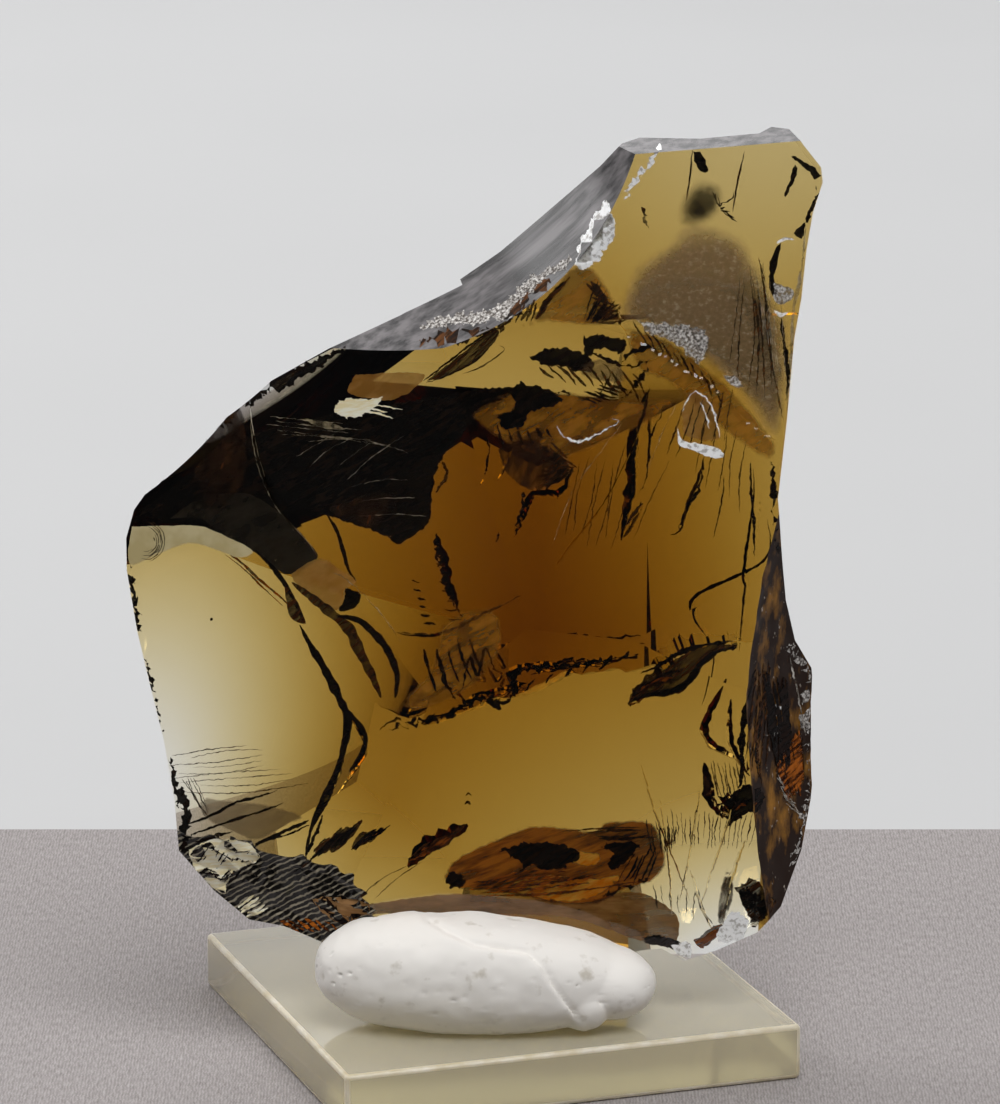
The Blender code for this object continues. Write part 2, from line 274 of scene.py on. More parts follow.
glassBlock = dict(
    front=-24.0, back=14.0, middle=-8.0, sideDrop=14.7,
    outline=(
        (13.0, 100.1), (10.7, 97.7), (6.5, 94.1), (0.3, 88.7), (-6.0, 84.2), (-10.2, 81.7), (-17.6, 78.0),
        (-27.1, 72.6), (-31.3, 69.9), (-33.9, 68.0), (-35.1, 65.2), (-38.3, 60.7), (-39.2, 57.6),
        (-39.2, 54.1), (-38.2, 47.5), (-37.0, 42.0), (-35.5, 35.4), (-34.4, 28.7), (-34.0, 23.1),
        (-30.3, 18.6), (-26.6, 15.4), (-22.8, 14.7), (-19.3, 13.2), (-17.5, 12.4), (-10.5, 10.9),
        (-3.0, 10.1), (4.6, 10.1), (11.0, 10.9), (15.3, 12.1), (17.5, 12.3), (19.9, 10.9), (23.4, 12.1),
        (27.7, 14.1), (30.3, 16.9), (32.6, 23.1), (33.6, 28.7), (34.0, 33.1), (33.9, 39.8), (33.5, 43.3),
        (31.6, 46.4), (30.5, 50.8), (30.0, 55.2), (29.4, 61.8), (30.3, 70.4), (31.0, 79.1), (31.7, 83.4),
        (32.2, 88.7), (32.8, 92.5), (33.8, 95.8), (33.6, 97.4), (31.7, 99.8), (30.4, 101.7), (28.6, 102.0),
        (27.3, 101.2), (21.1, 100.6), (14.8, 100.8),
    ),
)

# a break is a shallow dish: at its middle, facing out of the glass, its rim reach away and rise proud.
# Its profile is a parabola unless power says otherwise, and it runs along z unless along does
glassBreaks = dict(
    neckFront=dict(at=(22.6, -10.6, 92), facing=(0.05, -1, 0.02), reach=(24, 30), rise=1.2, extent=(90, 90)),
    rightFront=dict(at=(20, -14.6, 60), facing=(0.12, -0.98, 0.03), reach=(24, 24), rise=1,
                    extent=(120, 100)),
    lowerFront=dict(at=(6, -14.2, 30), facing=(0.05, -0.985, -0.09), reach=(30, 30), rise=1,
                    extent=(120, 110)),
    leftFront=dict(at=(-29, -11, 38.5), facing=(-0.2, -0.975, 0.03), reach=(26, 26), rise=1.2,
                   extent=(110, 90)),
    upperLeftFront=dict(at=(-10.2, -13.6, 64.4), facing=(-0.1, -0.985, 0.06), reach=(24, 24), rise=1.2,
                        extent=(100, 100)),
    shoulder=dict(at=(-17, -12.5, 79.8), facing=(-0.44, 0.32, 0.83), along=(0.87, 0, 0.49), reach=(33, 60),
                  rise=0.4, extent=(40, 60), shift=(-6, 0)),
    shoulderTop=dict(at=(6.35, -10.5, 87.6), facing=(-0.546, -0.577, 0.607), along=(0.743, 0, 0.669),
                     reach=(14, 60), rise=3.3, extent=(48, 60), shift=(-4, 0), face="skin"),
    top=dict(at=(22.1, -7.6, 100.5), facing=(-0.064, -0.144, 0.988), along=(1, 0, 0), reach=(30, 30),
             rise=0.5, extent=(60, 50), face="skin"),
    rightSide=dict(at=(30.6, -8.5, 36.4), facing=(0.78, -0.62, 0), reach=(24, 14), rise=1.6, extent=(90, 50),
                   grain=(0.1, 1.6), face="side"),
    ribbedCorner=dict(at=(-25, -11.4, 21), facing=(-0.25, -0.93, -0.25), along=(0.85, 0, -0.5),
                      reach=(14, 9), rise=0.8, extent=(40, 30), ribs=(0.22, 0.8), face="ribbed"),
    neckBack=dict(at=(21.2, -4.15, 91.7), facing=(0.03, 0.985, 0.15), reach=(22, 22), rise=1.6,
                  extent=(40, 90), shift=(8, 0)),
    upperBack=dict(at=(8, 0.2, 75), facing=(0.05, 0.89, 0.44), reach=(16, 30), rise=2, extent=(41, 90),
                   shift=(-14.5, 0)),
    middleBackRight=dict(at=(16, 3.4, 54), facing=(0.38, 0.92, 0.02), reach=(24, 24), rise=1,
                         extent=(110, 90)),
    middleBackLeft=dict(at=(-12, 3.4, 52), facing=(-0.31, 0.95, 0.02), reach=(24, 24), rise=1,
                        extent=(110, 90)),
    lowerBack=dict(at=(4.6, -3.4, 33), facing=(0.1, 0.985, -0.12), reach=(30, 30), rise=1, extent=(34, 72),
                   shift=(-7, -14), lip=(-8.2, 0.55, 1, 11.5),
                   edge=((-40, 12), (-16, 5.5), (-12.5, 4.1), (-7.8, 6.3), (-2.5, 7.9), (1.7, 10),
                         (10.2, 10.7), (20.8, 12.9), (40, 14)), jag=0.6),
    patchBack=dict(at=(-6, -5, 77), facing=(-0.1, 0.96, -0.26), along=(0.1, 0, 1), reach=(20, 20), rise=0.8,
                   extent=(9, 44), shift=(1.5, -3)),
    upperLeftBack=dict(at=(-20, -6.3, 68), facing=(-0.4, 0.78, 0.48), reach=(20, 20), rise=2,
                       extent=(70, 64)),
    leftWindow=dict(at=(-36, -9.9, 28), facing=(-0.03, 1, -0.06), along=(0.335, 0, 0.942), reach=(46, 20.5),
                    rise=7.5, power=1.7, extent=(49, 60), shift=(4.5, 0),
                    ripples=dict(centre=(20, -3), spacing=0.8, height=0.03, fade=5)),
    rightBack=dict(at=(29, -3.2, 40), facing=(0.4, 0.915, 0), reach=(30, 20), rise=1, extent=(90, 30)),
    rightFan=dict(at=(24, -10.2, 20), facing=(0.1, 0.93, -0.36), reach=(22, 16), rise=3, extent=(46, 14),
                  shift=(3, -3)),
    leftHeel=dict(at=(-16.6, -8.5, 17), facing=(-0.2, 0.93, -0.3), reach=(14, 20), rise=2, extent=(30, 20),
                  shift=(0, 4)),
    foot=dict(at=(0, -8, 9.8), facing=(0, 0.25, -0.97), along=(1, 0, 0), reach=(40, 30), rise=0.8,
              extent=(90, 50)),
)

breakValues = dict(cell=0.6, depth=70.0, steepestRim=2.2)


def breakHeight(shape, u, w):
    out = math.hypot(u / shape["reach"][0], w / shape["reach"][1])
    height = shape["rise"] * min(out, breakValues["steepestRim"]) ** shape.get("power", 2)
    if "lip" in shape:
        # the floor climbs steeply towards its lower end, later at its two ends
        start, slope, middle, half = shape["lip"]
        start -= 5.0 * min(1.4, abs(w - middle) / half) ** 3
        height += max(0.0, start - u) * slope
    if "grain" in shape:
        depth, size = shape["grain"]
        height += depth * noise.noise(Vector((u, w, 3.1)) / size)
    if "ribs" in shape:
        depth, spacing = shape["ribs"]
        wander = noise.noise(Vector((u, w, 7.7)) / 4.0) * 1.5 + u * 0.12
        height += depth * math.sin((w + wander) / spacing * math.tau)
    if "ripples" in shape:
        ring = shape["ripples"]
        away = math.hypot(u - ring["centre"][0], w - ring["centre"][1])
        wave = math.sin(away / ring["spacing"] * math.tau)
        height += ring["height"] * wave * math.exp(-away / ring["fade"])
    return height


def edgeAt(edge, w):
    for (w0, u0), (w1, u1) in zip(edge, edge[1:]):
        if w0 <= w <= w1:
            return u0 + (u1 - u0) * (w - w0) / (w1 - w0)
    return edge[0][1] if w < edge[0][0] else edge[-1][1]


def breakCutter(name, shape, material):
    # a block whose inner face is the fracture
    bm = bmesh.new()
    columns, rows = [max(6, round(length / breakValues["cell"])) for length in shape["extent"]]
    bmesh.ops.create_grid(bm, x_segments=columns, y_segments=rows, size=0.5)
    shift = shape.get("shift", (0, 0))
    for vert in bm.verts:
        u = vert.co.x * shape["extent"][0] + shift[0]
        w = vert.co.y * shape["extent"][1] + shift[1]
        if "edge" in shape:
            # the upper margin follows a ragged line
            low = shift[0] - shape["extent"][0] / 2
            top = edgeAt(shape["edge"], w) + shape["jag"] * (noise.noise(Vector((w / 1.6, 2.2, 0)))
                                                             + 0.6 * noise.noise(Vector((w / 0.7, 5.2, 0))))
            u = low + (vert.co.x + 0.5) * (top - low)
        vert.co = (u, w, breakHeight(shape, u, w))
    outer = bmesh.ops.extrude_face_region(bm, geom=bm.faces[:])["geom"]
    for vert in [item for item in outer if isinstance(item, bmesh.types.BMVert)]:
        vert.co.z = breakValues["depth"]
    place = Matrix.Translation(shape["at"]) @ facingMatrix(shape["facing"], shape.get("along", (0, 0, 1)))
    bm.transform(Matrix.Scale(mm, 4) @ place)
    return meshObject(name, bm, material)


# fracture lines in the faces: ragged V-shaped steps, thin at both ends. Each: the side of the glass it is in,
# its width, depth and raggedness, how far its floor leans, then points (x, z)
grooves = [
    ("back", 0.5, 0.8, 0.04, 0.6, (-17.4, 43.2), (-16.1, 39.6), (-15.4, 37.3), (-15.5, 34.3), (-16.1, 31.2),
     (-17.7, 27.9), (-19.2, 25.2)),
    ("back", 0.5, 0.6, 0.06, 0.6, (-15.1, 37.9), (-13.8, 35.7), (-12.9, 33.7), (-13.7, 32.1), (-16.1, 28.8)),
    ("back", 0.8, 0.9, 0.3, 0.6, (-11.3, 35.8), (-8.6, 37.1), (-4, 37.9), (-3.1, 39.3), (-1.1, 39.6),
     (2.2, 39.8), (1.7, 39.5), (0.7, 41.4), (1.7, 42.1), (6.2, 42.5), (7.3, 43.2), (10.7, 43.1), (14.8, 44)),
    ("back", 0.6, 0.8, 0.15, 0.6, (-5.4, 42.7), (-4.6, 40.9), (-5, 40.2), (-4.3, 39.2)),
    ("back", 0.4, 0.6, 0.1, 0.6, (-4.2, 41.8), (-1.9, 41.1), (-2.8, 42.7)),
    ("back", 0.4, 0.6, 0.1, 0.6, (-1.7, 42.7), (-0.8, 40.9), (-0.1, 41.6), (-1.1, 42.5)),
    ("back", 0.4, 0.6, 0.1, 0.6, (-1, 44.6), (0.1, 42.3), (-0.6, 43.4)),
    ("back", 0.35, 0.6, 0.08, 0.6, (-9.9, 45.5), (-6.5, 44.8), (-3.7, 45.1), (0.3, 46.4), (1.5, 47.1)),
    ("back", 0.5, 0.6, 0.15, 0.6, (10.7, 42.7), (8, 42.7), (3.1, 41.4)),
    ("back", 2.6, 1.5, 0.3, -0.5, (13.8, 39.6), (16.6, 42.4), (20, 44.3), (25.2, 45.7)),
    ("back", 1.2, 1, 0.25, 0.6, (22, 33.2), (22.6, 29), (24.7, 27.1)),
    ("back", 2.6, 1.4, 0.4, 0.7, (23.9, 27.3), (25.9, 29.2), (25.3, 30.1)),
    ("back", 0.9, 1, 0.12, 0.6, (26.1, 33.5), (22.1, 36.4), (24, 41.7)),
    ("back", 0.7, 0.9, 0.12, 0.6, (26.9, 31.7), (24.9, 35.7), (24.9, 40.3)),
    ("back", 0.4, 0.7, 0.04, 0.6, (26.9, 64), (27, 61), (26.2, 54.6), (25.7, 49.7), (25.3, 44.7)),
    ("back", 0.4, 0.7, 0.05, 0.6, (28.5, 58.6), (28.1, 54.1), (20.4, 48.9), (22.5, 44.2), (21.7, 39.6)),
    ("back", 1.8, 1.1, 0.3, 0.6, (-9.9, 21.6), (-7.6, 23.4), (-3.4, 25.9)),
    ("back", 1.2, 1.2, 0.08, 0.6, (15.4, 71.9), (14.3, 68.2), (13.9, 64.7), (13.8, 61.5), (12.7, 54.7)),
    ("back", 0.6, 0.7, 0.08, 0.6, (15.1, 59.1), (14.1, 57.1), (12.9, 55)),
    ("back", 0.4, 0.6, 0.1, 0.6, (15.4, 70.9), (15.8, 67.3), (15.6, 63.7)),
    ("back", 0.5, 0.7, 0.12, 0.6, (21.7, 64.8), (21.1, 62.5), (19.9, 59.2), (19.1, 56.5), (18.1, 55.9)),
    ("back", 0.8, 0.9, 0.3, 0.6, (7.4, 62.5), (6.1, 59.6), (2.9, 59.1), (2, 57.2), (1, 54.4)),
    ("back", 0.6, 0.8, 0.25, 0.6, (9.6, 71.1), (9.3, 68), (10.8, 67.6), (12.7, 68.2), (13.2, 69.7)),
    ("back", 0.5, 0.7, 0.25, 0.6, (-0.5, 66.9), (0.8, 65), (-0, 62.9), (-0.8, 61)),
    ("back", 0.9, 0.8, 0.2, 0.6, (-5.8, 55.8), (-5, 52.5), (-4.5, 50.2), (-3.4, 47.1)),
    ("front", 0.22, 0.15, 0.03, 0.6, (-25.9, 73.6), (-25.6, 70.4), (-24.8, 66.7), (-23.7, 63.1), (-22, 60.6),
     (-20.7, 58.1)),
    ("front", 0.2, 0.12, 0.05, 0.6, (14.9, 70.4), (11.3, 63.2), (6.5, 57.1), (5, 53)),
    ("front", 0.6, 0.25, 0.3, 0.6, (12.5, 85.6), (13, 81), (16.4, 78.8), (20.1, 76.5), (23.3, 74.3),
     (25.9, 71.3), (29.1, 69.2)),
    ("front", 0.25, 0.2, 0.1, 0.6, (15.1, 35), (16.2, 30.4), (17.8, 25.9), (20.5, 19)),
    ("front", 0.25, 0.2, 0.1, 0.6, (21.4, 31.6), (20.4, 24.7), (19.4, 19)),
    ("front", 0.3, 0.2, 0.1, 0.6, (25.2, 30.4), (23.1, 23.6), (21.6, 18.4)),
    ("front", 0.25, 0.2, 0.1, 0.6, (17.2, 30.4), (18.1, 23.6), (18.6, 17.3)),
    ("front", 0.5, 0.4, 0.15, 0.6, (26.3, 25.8), (24.7, 21.3), (23.9, 16.1)),
    ("front", 0.4, 0.3, 0.12, 0.6, (20.5, 22.4), (21.6, 18.4), (22.9, 15.6)),
    ("back", 0.3, 0.4, 0.05, 0.6, (25.7, 99), (25, 95.9), (24.5, 92.4)),
    ("back", 0.3, 0.4, 0.05, 0.6, (20.2, 99.2), (20, 96.5), (19.6, 93.7)),
]


# the step along a groove, how far its cutter stands proud of the face, and how bluntly its ends taper
grooveValues = dict(step=0.3, lift=0.7, taper=0.7)


def surfaceY(tree, x, z, side):
    hit = tree.ray_cast(Vector((x, side * 60.0, z)), Vector((0, -side, 0)))[0]
    return hit.y if hit else None


def smoothLine(points, step):
    # the line through the points, rounded at them, with a point every step
    line = []
    padded = [points[0]] + list(points) + [points[-1]]
    for a, b, c, d in zip(padded, padded[1:], padded[2:], padded[3:]):
        count = max(1, round(math.dist(b, c) / step))
        for i in range(count):
            t = i / count
            line.append(tuple(0.5 * (2 * q + (r - p) * t + (2 * p - 5 * q + 4 * r - o) * t * t
                                     + (3 * q - p - 3 * r + o) * t ** 3)
                              for p, q, r, o in zip(a, b, c, d)))
    line.append(tuple(points[-1]))
    return line


def grooveCutter(tree, name, groove):
    face, width, depth, raggedness, lean, *path = groove
    side = 1 if face == "back" else -1
    line = smoothLine(path, grooveValues["step"])
    lift = grooveValues["lift"]
    bm = bmesh.new()
    sections = []
    for i, (x, z) in enumerate(line):
        before, after = line[max(0, i - 1)], line[min(len(line) - 1, i + 1)]
        length = math.dist(before, after) or 1.0
        nx, nz = -(after[1] - before[1]) / length, (after[0] - before[0]) / length
        wander = raggedness * (noise.noise(Vector((x / 0.9, z / 0.9, 1.3)))
                               + 0.7 * noise.noise(Vector((x / 0.35, z / 0.35, 4.1))))
        x, z = x + nx * wander, z + nz * wander
        y = surfaceY(tree, x, z, side)
        if y is None:
            continue
        share = i / (len(line) - 1)
        swell = max(0.08, math.sin(math.pi * share)) ** grooveValues["taper"]
        swell *= 1 + 0.5 * noise.noise(Vector((x / 0.7, z / 0.7, 9.0)))
        half, deep = width / 2 * swell, depth * swell
        outer = half * (deep + lift) / deep
        floor = lean * half
        sections.append([bm.verts.new((x - nx * outer, y + side * lift, z - nz * outer)),
                         bm.verts.new((x + nx * floor, y - side * deep, z + nz * floor)),
                         bm.verts.new((x + nx * outer, y + side * lift, z + nz * outer))])
    for first, second in zip(sections, sections[1:]):
        for j in range(3):
            k = (j + 1) % 3
            bm.faces.new((first[j], first[k], second[k]))
            bm.faces.new((first[j], second[k], second[j]))
    bm.faces.new(sections[0])
    bm.faces.new(sections[-1])
    bm.transform(Matrix.Scale(mm, 4))
    return meshObject(name, bm)


def addGrooves(glass):
    bm = bmesh.new()
    bm.from_mesh(glass.data)
    bm.transform(Matrix.Scale(1 / mm, 4))
    tree = BVHTree.FromBMesh(bm)
    bm.free()
    for number, groove in enumerate(grooves):
        cutAway(glass, grooveCutter(tree, f"groove{number}", groove))


# the colour comes from depth: a millimetre takes little, 20 mm leaves deep brown
glassLook = dict(
    ior=1.5, absorbed=(0.775, 0.62, 0.10), density=335.0,
    skinCell=(22.0, 1.6, 1.0), skinTurn=-41, skinColours=("242121", "787374"),
    # the rib colours: painted shade in the hollows, painted highlights on the crests
    ribSpacing=0.604 * mm, ribTurn=-57, ribShadeAndHighlight=("0b0704", "a39a86"),
    sideColours=("221107", "a8742a"), speckColour="b9ada0",
)


def makeGlassMaterial(v):
    # cast soda-lime glass coloured amber in the melt, broken faces: clear, glossy, brown where thick
    material, tree, shader, _ = newMaterial("amber cullet glass")
    shader.inputs["Base Color"].default_value = (1, 1, 1, 1)
    shader.inputs["Roughness"].default_value = 0.0
    shader.inputs["Transmission Weight"].default_value = 1.0
    shader.inputs["IOR"].default_value = v["ior"]
    addAbsorption(tree, v["absorbed"], v["density"])
    return material


def makeSkinMaterial(v):
    # the melt's outer skin, never broken: the same glass, smoke grey and glossy, streaked as it was drawn
    material, tree, shader, coords = newMaterial("amber cullet skin")
    streaks = streakNoise(tree, coords, v["skinCell"], v["skinTurn"])
    tree.links.new(blend(tree, streaks, 0.36, 0.64, v["skinColours"]), shader.inputs["Base Color"])
    shader.inputs["Roughness"].default_value = 0.22
    shader.inputs["Transmission Weight"].default_value = 0.15
    shader.inputs["IOR"].default_value = v["ior"]
    addAbsorption(tree, v["absorbed"], v["density"])
    return material


def makeRibbedMaterial(v):
    # the crushed corner: sharp ribs of the same glass, with painted shade, black in the hollows, and painted
    # highlights, white on the crests
    material, tree, shader, coords = newMaterial("ribbed amber glass")
    turn = addNode(tree, "ShaderNodeMapping", {"Rotation": (0, math.radians(v["ribTurn"]), 0)},
                   {"Vector": coords})
    ribs = addNode(tree, "ShaderNodeTexWave",
                   {"wave_type": "BANDS", "bands_direction": "X", "Scale": bandScale(v["ribSpacing"]),
                    "Distortion": 4.0, "Detail": 3.0, "Detail Scale": 1.6}, {"Vector": turn.outputs[0]})
    patches = streakNoise(tree, coords, (4.0, 4.0, 2.0), -30)
    both = addNode(tree, "ShaderNodeMath", {"operation": "ADD"}, {0: ribs.outputs["Fac"], 1: patches})
    tree.links.new(blend(tree, both.outputs[0], 1.12, 1.5, v["ribShadeAndHighlight"]), shader.inputs["Base Color"])
    shader.inputs["Roughness"].default_value = 0.25
    return material


def makeSideMaterial(v):
    # the thick right side: glass too deep to see through, golden in its thin places, crushed to white specks
    material, tree, shader, coords = newMaterial("deep brown glass side")
    mottle = streakNoise(tree, coords, (3.0, 3.0, 6.0), 0, 5.0)
    specks = streakNoise(tree, coords, (0.5, 0.5, 0.8), 0, 2.0)
    bright = addNode(tree, "ShaderNodeMapRange", {"From Min": 0.68, "From Max": 0.76}, {"Value": specks})
    tint = addNode(tree, "ShaderNodeMix", {"data_type": "RGBA", 7: linearColour(v["speckColour"])},
                   {"Factor": bright.outputs[0], 6: blend(tree, mottle, 0.50, 0.72, v["sideColours"])})
    tree.links.new(tint.outputs[2], shader.inputs["Base Color"])
    shader.inputs["Roughness"].default_value = 0.3
    shader.inputs["Specular IOR Level"].default_value = 0.12
    return material


def makeGlass(v):
    drop = math.tan(math.radians(v["sideDrop"]))
    bm = bmesh.new()
    ring = [bm.verts.new((x, v["front"], z - drop * (v["front"] - v["middle"]))) for x, z in v["outline"]]
    face = bm.faces.new(ring)
    back = bmesh.ops.extrude_face_region(bm, geom=[face])["geom"]
    depth = v["back"] - v["front"]
    bmesh.ops.translate(bm, vec=(0, depth, -drop * depth),
                        verts=[item for item in back if isinstance(item, bmesh.types.BMVert)])
    bm.transform(Matrix.Scale(mm, 4))
    glass = meshObject("andaraGlass", bm, makeGlassMaterial(glassLook))
    skins = dict(skin=makeSkinMaterial(glassLook), ribbed=makeRibbedMaterial(glassLook),
                 side=makeSideMaterial(glassLook))
    for name, shape in glassBreaks.items():
        cutAway(glass, breakCutter(name, shape, skins.get(shape.get("face"), glass.data.materials[0])))
    addGrooves(glass)
    shadeSmooth(glass, 8)
    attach(glass, "root")
    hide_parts("andara_glass")
    print("glass broken,", len(glass.data.polygons), "faces")
    return glass


glass = makeGlass(glassBlock)
